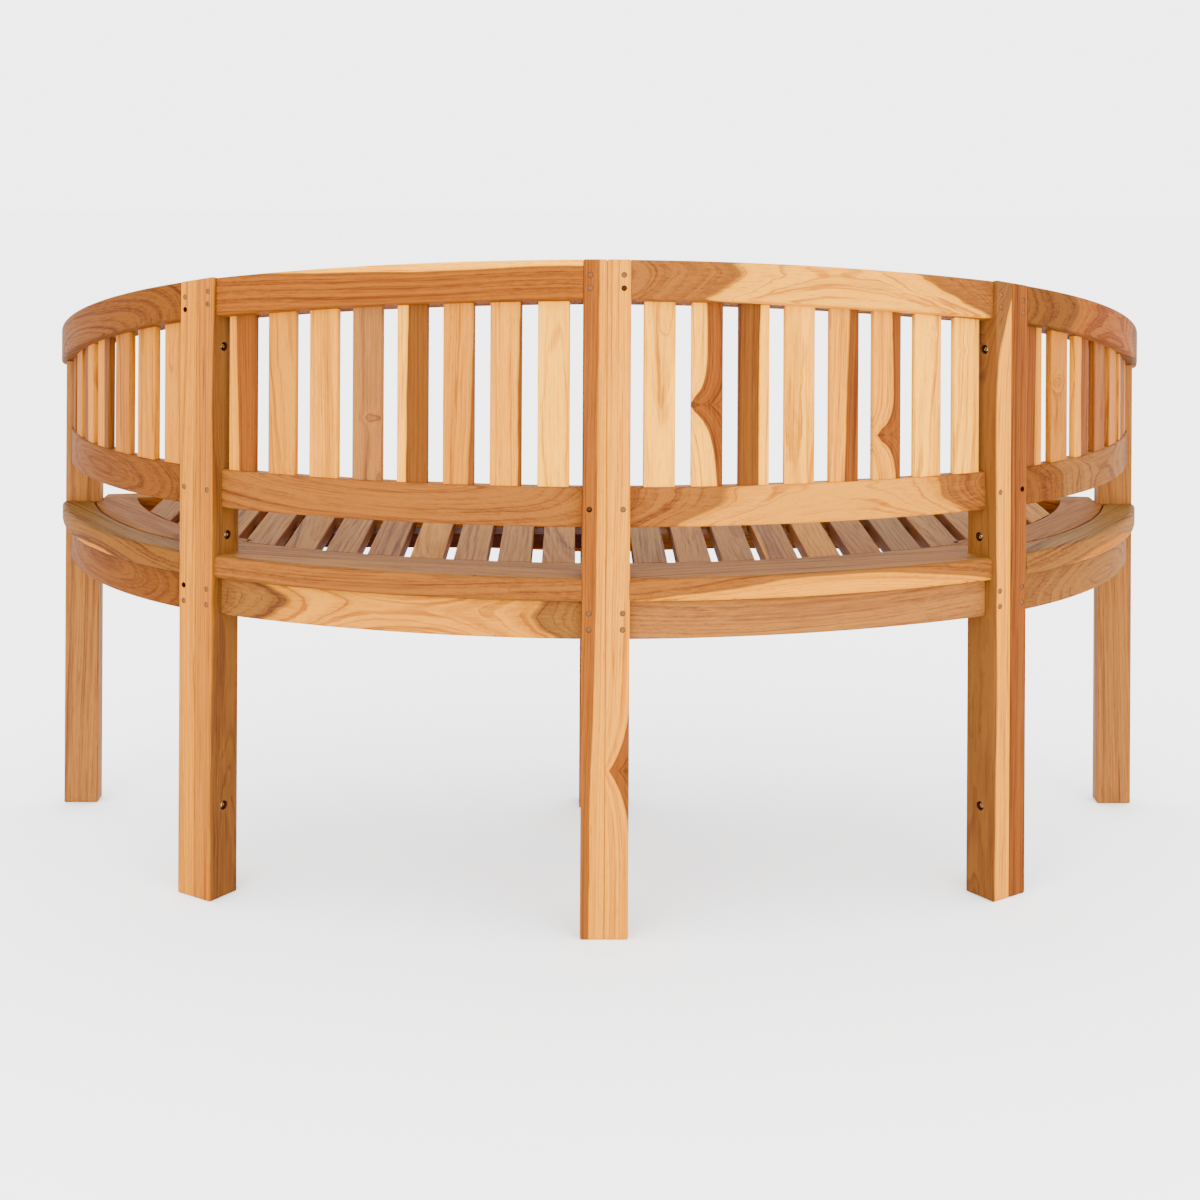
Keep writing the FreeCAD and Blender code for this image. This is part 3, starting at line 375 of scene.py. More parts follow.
class Piece:
    """One named piece of the bench, made of one or more boards."""

    def __init__(self, node, mirrored=False):
        self.node = node
        self.mirrored = mirrored
        self.mesh = bmesh.new()
        self.number = self.mesh.verts.layers.int.new("board")
        self.boards = []

    def add(self, board, lay, width, height, ease, steps, soft, across, nose=None):
        """Loft one board. ease rounds its long edges and soft its two ends, and nose gives
        the stations of a round end instead. across is the way that its width runs."""
        rounds = ease if isinstance(ease, tuple) else (ease,) * 4
        foot, head = ([(share, way * end * part, end * inset) for part, inset in END_PROFILE]
                      for share, way, end in ((0.0, 1, soft[0]), (1.0, -1, soft[1])))
        stations = (nose or foot) + [(i / steps, 0.0, 0.0) for i in range(1, steps)] + head[::-1]
        rings = []
        for share, offset, inset in stations:
            points = [lay(share, offset, a, b) for a, b in section(width, height, rounds, inset)]
            rings.append([self.mesh.verts.new(p) for p in points])
        index = len(self.boards)
        for ring in rings:
            for vert in ring:
                vert[self.number] = index
        count = len(rings[0])
        for low, high in zip(rings, rings[1:]):
            for i in range(count):
                j = (i + 1) % count
                self.mesh.faces.new((low[i], low[j], high[j], high[i]))
        self.mesh.faces.new(rings[0][::-1])
        self.mesh.faces.new(rings[-1])
        half = (width / 2, height / 2)
        start = np.array(lay(0.0, 0.0, *half))
        stop = np.array(lay(1.0, 0.0, *half))
        grain = (stop - start) / np.linalg.norm(stop - start)
        across = across - grain * (across @ grain)
        across /= np.linalg.norm(across)
        center = np.array(lay(0.5, 0.0, *half)) * 0.5 + (start + stop) * 0.25
        self.boards.append((board, center, np.array((grain, across, np.cross(grain, across)))))

    def done(self, finish, slot, knife=None, bores=()):
        """Cut the piece with the knife, mark its grain and its bores, and give it its finish."""
        piece = stand(self.node + "_teak", self.mesh)
        if knife:
            carve(piece, knife)
        piece.data.materials.clear()
        line_bores(piece.data, bores)
        self.mark_grain(piece.data)
        if self.mirrored:
            piece.data.transform(Matrix.Scale(-1, 4, Vector((1, 0, 0))))
            piece.data.flip_normals()
        piece.data.shade_smooth()
        piece.data.set_sharp_from_angle(angle=SHARP_BOARD)
        weighted = piece.modifiers.new("flat faces", "WEIGHTED_NORMAL")
        weighted.keep_sharp = True
        piece.data.materials.append(finish)
        if bores:
            piece.data.materials.append(BORE_SHADE_TEAK)
        declare(piece, self.node)

    def mark_grain(self, data):
        """Give every corner its place in the log, its colour and its distance to the marks."""
        count = len(data.vertices)
        points = np.empty(count * 3)
        data.vertices.foreach_get("co", points)
        points = points.reshape(-1, 3)
        numbers = np.zeros(count, np.int32)
        if len(self.boards) > 1:
            data.attributes["board"].data.foreach_get("value", numbers)
        grain = np.zeros((count, 3), np.float32)
        marks = np.zeros((count, 3), np.float32)
        tint = np.ones((count, 4), np.float32)
        pale = np.ones((count, 4), np.float32)
        for index, (board, center, axes) in enumerate(self.boards):
            own = numbers == index
            log = (points[own] - center) @ axes.T
            along, across, size = board.knot
            marks[own] = np.stack([np.full(len(log), board.sap), (log[:, 0] - along) / size,
                                   (log[:, 1] - across) / size], 1)
            sway = log[:, 0] * board.sway
            grain[own] = np.stack([log[:, 0] + board.seed * LOG_SPACING,
                                   log[:, 1] - board.pith[0] + sway,
                                   log[:, 2] - board.pith[1] - sway * 0.6], 1)
            tint[own] = (*board.colour, size)
            pale[own, :3] = board.pale
        for field, layers in (("vector", (("grain", grain), ("marks", marks))),
                              ("color", (("tint", tint), ("pale", pale)))):
            for name, values in layers:
                layer = data.attributes.new(name, "FLOAT_" + field.upper(), "POINT")
                layer.data.foreach_set(field, values.ravel())


def carve(piece, blade):
    """Cut holes or notches into a piece for good."""
    knife = bpy.data.objects.new("knife", blade)
    bpy.context.scene.collection.objects.link(knife)
    cut = piece.modifiers.new("cut", "BOOLEAN")
    cut.operation = "DIFFERENCE"
    cut.solver = "EXACT"
    cut.object = knife
    graph = bpy.context.evaluated_depsgraph_get()
    carved = bpy.data.meshes.new_from_object(piece.evaluated_get(graph), depsgraph=graph)
    piece.modifiers.remove(cut)
    piece.data = carved
    bpy.data.objects.remove(knife)


def line_bores(data, bores):
    """Mark the walls and floors of the bores, which are small faces, for a finish of their own, a
    dark red that paints the shade inside the holes.
    """
    for face in data.polygons:
        face.material_index = 0
        if face.area >= LEAST_FLAT:
            continue
        for _, start, stop, diameter in bores:
            run, point = Vector(stop) - Vector(start), face.center - Vector(start)
            share = point.dot(run) / run.dot(run)
            if share < BORE_LENGTH and (point - run * share).length < diameter * BORE_REACH:
                face.material_index = 1


def cutter(shapes):
    """One mesh from boxes on the plan and round bores."""
    tool = bmesh.new()
    for shape in shapes:
        if shape[0] == "bore":
            _, start, stop, diameter = shape
            run = Vector(stop) - Vector(start)
            heading = run.to_track_quat("Z", "Y").to_matrix().to_4x4()
            halfway = Matrix.Translation((Vector(start) + Vector(stop)) / 2)
            bmesh.ops.create_cone(tool, cap_ends=True, segments=TURNING_SIDES, radius1=diameter / 2,
                                  radius2=diameter / 2, depth=run.length, matrix=halfway @ heading)
        else:
            _, place, left, right, near, far, low, high = shape
            corners = [(*place.at(x, y), z) for z in (low, high)
                       for x, y in ((left, near), (right, near), (right, far), (left, far))]
            verts = [tool.verts.new(c) for c in corners]
            for face in ((3, 2, 1, 0), (4, 5, 6, 7), (0, 1, 5, 4), (1, 2, 6, 5), (2, 3, 7, 6),
                         (3, 0, 4, 7)):
                tool.faces.new([verts[i] for i in face])
    data = bpy.data.meshes.new("knife")
    tool.to_mesh(data)
    tool.free()
    return data


def rods(node):
    """Ends and axis of every round rod in a CAD node, from its mesh. The axis points outwards."""
    mesh = bmesh.new()
    mesh.from_mesh(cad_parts[node].data)
    bmesh.ops.remove_doubles(mesh, verts=mesh.verts, dist=SAME_POINT)
    seen, found = set(), []
    for first in mesh.verts:
        if first in seen:
            continue
        seen.add(first)
        rod = [first]
        for vert in rod:
            for link in vert.link_edges:
                other = link.other_vert(vert)
                if other not in seen:
                    seen.add(other)
                    rod.append(other)
        points = np.array([vert.co for vert in rod])
        center = (points.max(0) + points.min(0)) / 2
        axis = np.linalg.svd(points - points.mean(0))[2][0]
        if axis[:2] @ (center[:2] - SEAT_MIDDLE) < 0:
            axis = -axis
        reach = (points - center) @ axis
        found.append((center + axis * reach.min(), center + axis * reach.max(), axis))
    mesh.free()
    return found


# Finishes: wood and metal, from procedural nodes


class Socket:
    """A node's output. Sums on it add Math nodes."""

    def __init__(self, finish, node, name):
        self.finish = finish
        self.node = node
        self.link = node.outputs[name] if node.outputs else None

    def math(self, operation, *values):
        return self.finish.add("ShaderNodeMath", dict(enumerate(values)), operation=operation)

    def __add__(self, other):
        return self.math("ADD", self, other)

    def __sub__(self, other):
        return self.math("SUBTRACT", self, other)

    def __rsub__(self, other):
        return self.math("SUBTRACT", other, self)

    def __mul__(self, other):
        return self.math("MULTIPLY", self, other)

    def __truediv__(self, other):
        return self.math("DIVIDE", self, other)

    def __rtruediv__(self, other):
        return self.math("DIVIDE", other, self)

    def __abs__(self):
        return self.math("ABSOLUTE", self)

    __radd__ = __add__
    __rmul__ = __mul__

    def fraction(self):
        return self.math("FRACT", self)

    def exponential(self):
        return self.math("EXPONENT", self)

    def output(self, name):
        return Socket(self.finish, self.node, name)


class Finish:
    """A material and the nodes that make it."""

    def __init__(self, name):
        self.material = bpy.data.materials.new(name)
        self.material.use_nodes = True
        self.tree = self.material.node_tree
        self.tree.nodes.clear()

    def add(self, kind, inputs=None, output=0, **settings):
        """Any node: its settings first, then the values or links of its sockets."""
        node = self.tree.nodes.new(kind)
        for name, value in settings.items():
            setattr(node, name, value)
        for name, value in (inputs or {}).items():
            if isinstance(value, Socket):
                self.tree.links.new(value.link, node.inputs[name])
            else:
                node.inputs[name].default_value = value
        return Socket(self, node, output)

    def attribute(self, name, output):
        return self.add("ShaderNodeAttribute", output=output, attribute_name=name)

    def place(self):
        return self.add("ShaderNodeTexCoord", output="Object")

    def join(self, x, y, z):
        return self.add("ShaderNodeCombineXYZ", {0: x, 1: y, 2: z})

    def stretch(self, vector, scale):
        return self.add("ShaderNodeVectorMath", {0: vector, 1: scale}, operation="MULTIPLY")

    def noise(self, vector, detail=2.0, roughness=0.5):
        """Noise round zero."""
        cloud = self.add("ShaderNodeTexNoise",
                         {"Vector": vector, "Scale": 1.0, "Detail": detail, "Roughness": roughness})
        return cloud - 0.5

    def grit(self, scale, detail):
        """Noise round zero, the same size every way."""
        return self.noise(self.stretch(self.place(), (scale,) * 3), detail)

    def between(self, value, low, high):
        """0 below low, 1 above high, and a smooth step between."""
        return self.add("ShaderNodeMapRange", {"Value": value, "From Min": low, "From Max": high},
                        interpolation_type="SMOOTHSTEP")

    def mix(self, share, first, second, blend="MIX"):
        """A mix of two colours, whose sockets go by number because every type has an A and a B."""
        return self.add("ShaderNodeMix", {0: share, 6: first, 7: second}, 2, data_type="RGBA",
                        blend_type=blend, clamp_factor=True)

    def darken(self, colour, factors):
        return self.mix(1.0, colour, rgba(factors), "MULTIPLY")

    def bump(self, strength, distance, height):
        return self.add("ShaderNodeBump",
                        {"Strength": strength, "Distance": distance, "Height": height}, "Normal")

    def surface(self, inputs):
        shader = self.add("ShaderNodeBsdfPrincipled", inputs)
        self.add("ShaderNodeOutputMaterial", {"Surface": shader})
        return self.material


def rgba(colour):
    return (*colour, 1.0)


def teak(name, turn=None, colour=None, ring=0.0045, relief=0.5, figure=1.0, worn_and_shaded=False,
         shaded_sides=False, shine=0.04):
    """Sanded teak cut from a log. Rings, colour bands, fibres and pores all follow the grain.
    A piece with no grain marks of its own gives turn, the way its boards run, and a colour.
    Worn wood is greyer on its upper faces from weathering, and darker there as painted shade of
    their weak top light; shaded sides are painted dark red shade."""
    finish = Finish(name)
    marked = turn is None
    if marked:
        grain = finish.attribute("grain", "Vector")
        heart_tint = finish.attribute("tint", "Color")
        sap_tint = finish.attribute("pale", "Color")
        knot_size = heart_tint.output("Alpha")
        sap_radius = finish.add("ShaderNodeSeparateXYZ", {0: finish.attribute("marks", "Vector")})
        beside, across = sap_radius.output("Y"), sap_radius.output("Z")
        knot = abs(beside) * 0.8 + abs(across) * 0.4
    else:
        grain = finish.add("ShaderNodeMapping", {"Vector": finish.place(), "Rotation": (0, 0, turn),
                                                 "Location": (0, 0.05, -0.5)})
        heart_tint = rgba(colour)

    # The rings wander slowly, and bend round a knot
    along = finish.add("ShaderNodeSeparateXYZ", {0: grain})
    slow = finish.noise(finish.stretch(grain, (1.3, 9.0, 9.0)), 1.5)
    quick = finish.noise(finish.stretch(grain, (7.0, 55.0, 55.0)), 2.0)
    wander = finish.noise(finish.stretch(grain, (26.0, 30.0, 30.0)), 2.0)
    round_log = finish.add("ShaderNodeVectorMath", {0: finish.stretch(grain, (0, 1, 1))}, "Value",
                           operation="LENGTH")
    radius = round_log + slow * (0.030 * figure) + quick * 0.0032 + wander * 0.0016
    if marked:
        radius = radius - (knot / -0.020).exponential() * knot_size * 0.034

    # Bands of colour, fine dark lines and rings run round the pith
    bands = finish.noise(finish.join(along * 0.6, radius * 150.0, slow), 3.0, 0.6)
    strand = finish.noise(finish.join(along * 1.1, radius * 190.0, slow * 2.0), 2.0)
    line = finish.between(abs(strand), 0.030, 0.004)
    late = finish.between((radius / ring).fraction(), 0.45, 0.97)
    fibre = finish.noise(finish.stretch(grain, (9.0, 360.0, 360.0)), 4.0, 0.7)
    speck = finish.noise(finish.stretch(grain, (45.0, 1300.0, 1300.0)), 1.0)
    pores = finish.between(speck, 0.12, 0.2)

    shade = bands * 2.3 + late * 0.22 + fibre * 1.9 + line * 0.45 + 0.13
    wood = finish.mix(shade, heart_tint, finish.darken(heart_tint, HEART_DARKENING))
    if marked:
        edge = radius - sap_radius
        dark_sap = finish.darken(sap_tint, SAP_DARKENING)
        pale = finish.mix(shade * 0.8 + line * 0.35, sap_tint, dark_sap)
        wood = finish.mix(finish.between(edge, -0.0008, 0.0006), wood, pale)
        rim = (abs(edge) / -0.0011).exponential()
        wood = finish.mix(rim * 0.42, wood, rgba(UMBER))
        wood = finish.mix(finish.between(knot, 0.0042, 0.0020) * 0.7, wood, rgba(UMBER))
    wood = finish.mix(pores * 0.30, wood, rgba(UMBER))
    if worn_and_shaded:
        facing = finish.add("ShaderNodeNewGeometry", output="Normal")
        # Upper faces: greyer from weathering, and darker as painted shade of their weak top light
        up = finish.between(finish.add("ShaderNodeSeparateXYZ", {0: facing}, "Z"), 0.5, 0.95)
        # Painted shade: faces that don't face up go three quarters of the way to a dark red
        side = finish.mix(0.75, wood, rgba(PAINTED_SIDE_SHADE)) if shaded_sides else wood
        wood = finish.mix(up, side, finish.darken(wood, WEATHERING_AND_TOP_SHADE))

    height = fibre * 0.8 - pores * 0.5 - late * 0.15 - line * 0.3 + bands * 0.3
    normal = finish.bump(relief, 0.0006, height)
    return finish.surface({"Base Color": wood, "Roughness": 0.60 + fibre * 0.30 + late * 0.05,
                           "Specular IOR Level": shine, "Normal": normal})


def peg_wood():
    """Pegs: end grain, with fine rings and dark pores."""
    finish = Finish("peg end grain")
    spots = finish.grit(900.0, 2.0)
    wood = finish.mix(spots * 1.2 + finish.grit(60.0, 1.0) + 0.4, rgba(PEG_PALE), rgba(PEG_DARK))
    return finish.surface({"Base Color": wood, "Roughness": 0.7 + spots * 0.2,
                           "Specular IOR Level": 0.06, "Normal": finish.bump(0.4, 0.0003, spots)})


def plated_steel():
    """Yellow zinc plate, lightly pitted, with dark patches that paint a reflection of dark
    surroundings.
    """
    finish = Finish("plated steel")
    cloud, pits = finish.grit(420.0, 3.0), finish.grit(2400.0, 1.0)
    metal = finish.mix(finish.between(cloud, -0.06, 0.06), rgba(ZINC_DARK_REFLECTION), rgba(ZINC))
    return finish.surface({"Base Color": metal, "Roughness": 0.38 + cloud * 0.3,
                           "Metallic": 0.9 + pits * 0.1, "Normal": finish.bump(0.3, 0.0002, pits)})


def studio_white():
    finish = Finish("studio floor")
    paper = finish.mix(finish.grit(0.7, 2.0) + 0.5, rgba((0.95,) * 3), rgba((0.97,) * 3))
    return finish.surface({"Base Color": paper, "Roughness": 0.85})


POST_TEAK = teak("post teak", ring=0.0040)
RAIL_TEAK = teak("rail teak", ring=0.0055, figure=1.3, shine=0.025)
BACK_TEAK = teak("back slat teak", ring=0.0042)
BOARD_TEAK = teak("seat board teak", ring=0.0050, relief=0.6, worn_and_shaded=True, shine=0.02)
END_BOARD_TEAK = teak("end board teak", ring=0.0050, relief=0.6, worn_and_shaded=True, shaded_sides=True,
                      shine=0.02)
SLAT_TEAK = teak("seat slat teak", ring=0.0046, relief=0.6, worn_and_shaded=True, shaded_sides=True,
                 shine=0.02)
# Bore walls and floors: dark red painted shade inside the holes
BORE_SHADE_TEAK = teak("post bore shade teak", 0.0, PAINTED_SHADE_RED, relief=0.8)
PEG_WOOD = peg_wood()
STEEL = plated_steel()

# Pegs, and the holes in the left posts for pegs and bolts. A drill starts clear of the wood.
DRILL_START = 0.004
PEG_HOLE_DEPTH = 0.010
pegs = rods("joint_pegs")
bolts = rods("post_bolts")
bores = [("bore", outer - axis * PEG_HOLE_DEPTH, outer + axis * DRILL_START,
          PEG_DIAMETER + BORE_PLAY) for inner, outer, axis in pegs]
for inner, outer, axis in bolts:
    seam = (inner + outer) / 2
    for way in (-1, 1):
        bores.append(("bore", seam + way * axis * (POST_WIDTH - COUNTERBORE_DEPTH),
                      seam + way * axis * (POST_WIDTH + DRILL_START), COUNTERBORE_DIAMETER))
left_bores = [bore for bore in bores if bore[1][0] < 0 and bore[2][0] < 0]


# Posts


def post(node, mirrored, place, left, top, board):
    piece = Piece(node, mirrored)
    lay = upright(place, left, 0.0, 0.0, top)
    piece.add(board, lay, POST_WIDTH, POST_DEPTH, POST_EASE, POST_STEPS, POST_ENDS,
              (*place.along, 0.0))
    piece.done(POST_TEAK, "post_teak", cutter(left_bores), left_bores)


def post_top(y):
    return BACK_HEIGHT - (y - BACK_Y) * math.tan(BACK_FALL)


post_boards = {
    "post_center_left": Board(HONEY, (-0.05, -0.025), sap=-0.0055, seed=1.1, sway=-0.015,
                              pale=GOLD),
    "post_center_right": Board(AMBER, (-0.05, -0.025), sap=-0.0265, knot=(-0.21, -0.015, 1.15),
                               seed=2.3, sway=0.01, pale=GOLD),
    "post_corner_left_inner": Board(OLIVE, (0.09, 0.01), sap=-0.007, seed=3.2, sway=0.003,
                                    pale=TAN),
    "post_corner_left_outer": Board(SAND, (-0.09, 0.01), seed=4.7, sway=0.005),
    "post_corner_right_inner": Board(OLIVE, (0.09, 0.01), sap=-0.0045, knot=(0.43, 0.0, 2.0),
                                     seed=5.5, sway=-0.010, pale=GOLD),
    "post_corner_right_outer": Board(AMBER, (0.06, 0.02), seed=6.1, sway=0.005),
    "post_end_left": Board(ROSE, (0.03, 0.05), seed=7.4),
    "post_end_right": Board(ROSE, (-0.02, 0.06), seed=8.8),
    "leg_front_left": Board(AMBER, (0.02, 0.06), seed=9.3),
    "leg_front_right": Board(AMBER, (-0.03, 0.06), seed=10.6),
}
for side in SIDES:
    mirrored = side == "right"
    for node, place, left in (("post_center_" + side, center_place, -POST_WIDTH),
                              ("post_corner_%s_inner" % side, corner_place, 0.0),
                              ("post_corner_%s_outer" % side, corner_place, -POST_WIDTH)):
        post(node, mirrored, place, left, post_top, post_boards[node])
    node = "post_end_" + side
    post(node, mirrored, end_place, -POST_WIDTH / 2, underside, post_boards[node])
    node = "leg_front_" + side
    post(node, mirrored, leg_place, -POST_WIDTH, lambda y: BOARD_BASE, post_boards[node])

# Arc ends: the angles where the rails meet the posts
SWING = math.radians(38)
WIDE_SWING = 2 * SWING
back_middle = (angle_of(back_center, corner_place.at(0, 0))
               + angle_of(back_center, center_place.at(0, 0))) / 2
end_middle = (angle_of(end_center, corner_place.at(0, 0))
              + angle_of(end_center, end_place.at(0, 0))) / 2
front_middle = (angle_of(front_center, leg_edge) + angle_of(front_center, end_edge)) / 2


def in_corner_post(point):
    return corner_place.x_of(point) > -POST_WIDTH


rail_first = meets(back_center, back_middle, back_middle - SWING,
                   lambda p: corner_place.x_of(p) < POST_WIDTH)
rail_last = meets(back_center, back_middle, back_middle + SWING, lambda p: p[0] > -POST_WIDTH)
seam_first = meets(back_center, back_middle, back_middle - SWING,
                   lambda p: corner_place.x_of(p) < 0)
middle_last = meets(back_center, back_middle, back_middle + SWING, lambda p: p[0] > 0)
end_first = meets(end_center, end_middle, end_middle - WIDE_SWING, lambda p: p[1] > near_y)
end_last = meets(end_center, end_middle, end_middle + WIDE_SWING, in_corner_post)
board_first = meets(end_center, end_middle, end_middle - SWING - WIDE_SWING,
                    lambda p: math.hypot(*(p - front_rim_center)) > front_rim_inner)
board_last = meets(end_center, end_middle, end_middle + WIDE_SWING,
                   lambda p: corner_place.x_of(p) > 0)
apron_first = meets(front_center, front_middle, front_middle - SWING,
                    lambda p: p[0] > -POST_WIDTH)
apron_last = meets(front_center, front_middle, front_middle + SWING,
                   lambda p: p[0] < end_edge[0])
rim_first = meets(front_rim_center, front_middle, front_middle - SWING, lambda p: p[0] > 0)
rim_last = meets(front_rim_center, front_middle, front_middle + SWING,
                 lambda p: p[0] < end_edge[0])

# The arm end is a half circle beyond the last angle of the end rail
arm_line = ARM_RADIUS - RAIL_SETBACK - TOP_RAIL_DEPTH / 2
arm_y = far_y + ARM_REACH - TOP_RAIL_DEPTH / 2
arm_x = arm_center[0] - math.sqrt(arm_line ** 2 - (arm_y - arm_center[1]) ** 2)
arm_first = angle_of(arm_center, spot(arm_x, arm_y))
LEAST_ARM = 0.2
LONGEST_ARM = 1.8
arm_last = meets(arm_center, arm_first + LEAST_ARM, arm_first + LONGEST_ARM, in_corner_post)


# Rails and seat boards


def rail(node, mirrored, lay, depth, height, ease=RAIL_EASE):
    piece = Piece(node, mirrored)
    piece.add(rail_boards[node], lay, depth, height, ease, RAIL_STEPS, RAIL_ENDS, UP)
    return piece


def seat_board(node, mirrored, lay, width, ease, finish, across, notches=None):
    piece = Piece(node, mirrored)
    piece.add(rim_boards[node], lay, width, RIM_THICKNESS, ease, RAIL_STEPS, RAIL_ENDS, across)
    piece.done(finish, "board_teak", cutter(notches) if notches else None)


def arm_rail(node, mirrored):
    """The end section of the top rail, which finishes in a rounded arm end."""
    half = TOP_RAIL_DEPTH / 2

    def lay(share, offset, a, b):
        r = round(ARM_RADIUS - RAIL_SETBACK - a, 7)
        if share < 0:
            turn = math.radians(-share * 90)
            r = arm_line + (r - arm_line) * math.cos(turn)
            angle = arm_first - half * math.sin(turn) / arm_line
        else:
            angle = arm_first + share * (arm_last(r) - arm_first) + offset / r
        x, y = arm_center + r * spot(math.cos(angle), math.sin(angle))
        return x, y, falling(y, b)

    piece = Piece(node, mirrored)
    nose = [(-share, 0.0, 0.0) for share in ARM_NOSE]
    piece.add(rail_boards[node], lay, TOP_RAIL_DEPTH, TOP_RAIL_HEIGHT, TOP_RAIL_EASE, ARM_STEPS,
              RAIL_ENDS, UP, nose)
    piece.done(RAIL_TEAK, "rail_teak")


rail_boards = {
    "top_rail_center_left": Board(HONEY, (-0.07, 0.02), sap=0.0225, seed=11.2, sway=0.01),
    "top_rail_center_right": Board(FAWN, (0.01, -0.07), sap=0.024, seed=12.9, sway=0.03,
                                   pale=STRAW),
    "top_rail_end_left": Board(BROWN, (-0.03, 0.06), seed=13.4, sway=0.06),
    "top_rail_end_right": Board(CHESTNUT, (0.02, -0.06), sap=0.027, seed=14.1, pale=HONEY),
    "back_rail_center_left": Board(FAWN, (0.05, 0.05), seed=15.8, sway=0.05),
    "back_rail_center_right": Board(FAWN, (0.012, -0.06), sap=0.0138, seed=16.5, sway=0.02,
                                    pale=BUFF),
    "back_rail_end_left": Board(BROWN, (0.0, 0.05), seed=17.7),
    "back_rail_end_right": Board(BROWN, (-0.01, -0.05), sap=0.015, seed=18.4, pale=HAZEL),
    "apron_center_left": Board(HAZEL, (0.0, -0.06), sap=0.0125, seed=19.6, sway=-0.005,
                               pale=BUFF),
    "apron_center_right": Board(ROSE, (0.07, 0.02), seed=20.3),
    "apron_end_left": Board(BROWN, (0.01, 0.05), seed=21.5),
    "apron_end_right": Board(HAZEL, (-0.01, 0.06), sap=0.02, seed=22.2, pale=TAN),
    # The front aprons are a dark brown as painted shade under the seat
    "apron_front_left": Board(BROWN, (0.06, 0.02), seed=23.9),
    "apron_front_right": Board(BROWN, (0.05, 0.03), seed=24.6),
}
rim_boards = {
    "seat_rim_center_left": Board(FAWN, (-0.04, -0.08), seed=25.3),
    "seat_rim_center_right": Board(FAWN, (0.05, 0.09), sap=0.0285, seed=26.4, sway=0.01,
                                   pale=GOLD),
    "seat_rim_end_left": Board(OLIVE, (0.05, 0.09), sap=0.0285, seed=27.6, pale=SAND),
    "seat_rim_end_right": Board(HAZEL, (0.04, 0.08), sap=0.022, seed=28.7, pale=TAN),
    "seat_board_end_left": Board(HONEY, (-0.03, -0.09), seed=29.9),
    "seat_board_end_right": Board(HONEY, (0.04, -0.08), seed=30.2),
    "seat_rim_front_left": Board(HONEY, (0.05, -0.06), seed=31.5),
    "seat_rim_front_right": Board(HONEY, (-0.05, -0.05), seed=32.1),
}

# Notches for the posts, each from left to right, from near to far and from low to high. They
# reach past the board that they are cut in.
NOTCH_HEIGHTS = (0.3, 0.6)
NOTCH_REACH = 0.3
pair_notch = (-POST_WIDTH, POST_WIDTH, -POST_DEPTH, POST_DEPTH, *NOTCH_HEIGHTS)
center_notch = ("box", center_place, *pair_notch)
corner_notch = ("box", corner_place, *pair_notch)
end_notch = ("box", end_place, -NOTCH_REACH, POST_WIDTH / 2, -NOTCH_REACH,
             POST_DEPTH + BOARD_JOINT, *NOTCH_HEIGHTS)
end_post_notch = ("box", end_place, -POST_WIDTH / 2, POST_WIDTH / 2, -POST_DEPTH, POST_DEPTH,
                  *NOTCH_HEIGHTS)
ALONG_BACK = (0, 1, 0)
ALONG_END = (1, 0.6, 0)

for side in SIDES:
    mirrored = side == "right"
    rail("top_rail_center_" + side, mirrored,
         bent(back_center, BACK_RADIUS - RAIL_SETBACK, rail_first, rail_last, falling),
         TOP_RAIL_DEPTH, TOP_RAIL_HEIGHT, TOP_RAIL_EASE).done(RAIL_TEAK, "rail_teak")
    arm_rail("top_rail_end_" + side, mirrored)
    for stem, base, depth, height in (
            ("back_rail", LOW_RAIL_BASE, LOW_RAIL_DEPTH, LOW_RAIL_HEIGHT),
            ("apron", APRON_BASE, APRON_DEPTH, APRON_HEIGHT)):
        for part, center, radius, first, last in (
                ("center", back_center, BACK_RADIUS, rail_first, rail_last),
                ("end", end_center, END_RADIUS, end_first, end_last)):
            rail("%s_%s_%s" % (stem, part, side), mirrored,
                 bent(center, radius - BOARD_SETBACK, first, last, level(base)),
                 depth, height).done(RAIL_TEAK, "rail_teak")
    rail("apron_front_" + side, mirrored,
         bent(front_center, front_radius, apron_first, apron_last,
              level(BOARD_BASE - FRONT_APRON_HEIGHT)),
         FRONT_APRON_DEPTH, FRONT_APRON_HEIGHT).done(RAIL_TEAK, "rail_teak",
                                                     cutter([end_post_notch]))
    seat_board("seat_rim_center_" + side, mirrored,
               bent(back_center, BACK_RADIUS, seam_first, middle_last, level(BOARD_BASE)),
               RIM_WIDTH, RIM_EASE, BOARD_TEAK, ALONG_BACK, (center_notch, corner_notch))
    seat_board("seat_rim_end_" + side, mirrored,
               bent(end_center, END_RADIUS, end_first, end_last, level(BOARD_BASE)),
               END_RIM_WIDTH, RIM_EASE, BOARD_TEAK, ALONG_END)
    seat_board("seat_board_end_" + side, mirrored,
               bent(end_center, end_board_outer, board_first, board_last, level(BOARD_BASE)),
               END_BOARD_WIDTH, BOARD_EASE, END_BOARD_TEAK, ALONG_END, (corner_notch, end_notch))
    seat_board("seat_rim_front_" + side, mirrored,
               bent(front_rim_center, front_rim_outer, rim_first, rim_last, level(BOARD_BASE)),
               FRONT_RIM_WIDTH, RIM_EASE, BOARD_TEAK, ALONG_BACK)


# Back slats, counted outwards from the centre post and from the corner post


def slat(colour, pale=SAPWOOD, way=0, sap=None, knot=None, sway=0.01):
    """A slat's wood. way is the side of the pith: towards the centre 1, away -1, behind 0."""
    return colour, pale, way, sap, knot, sway


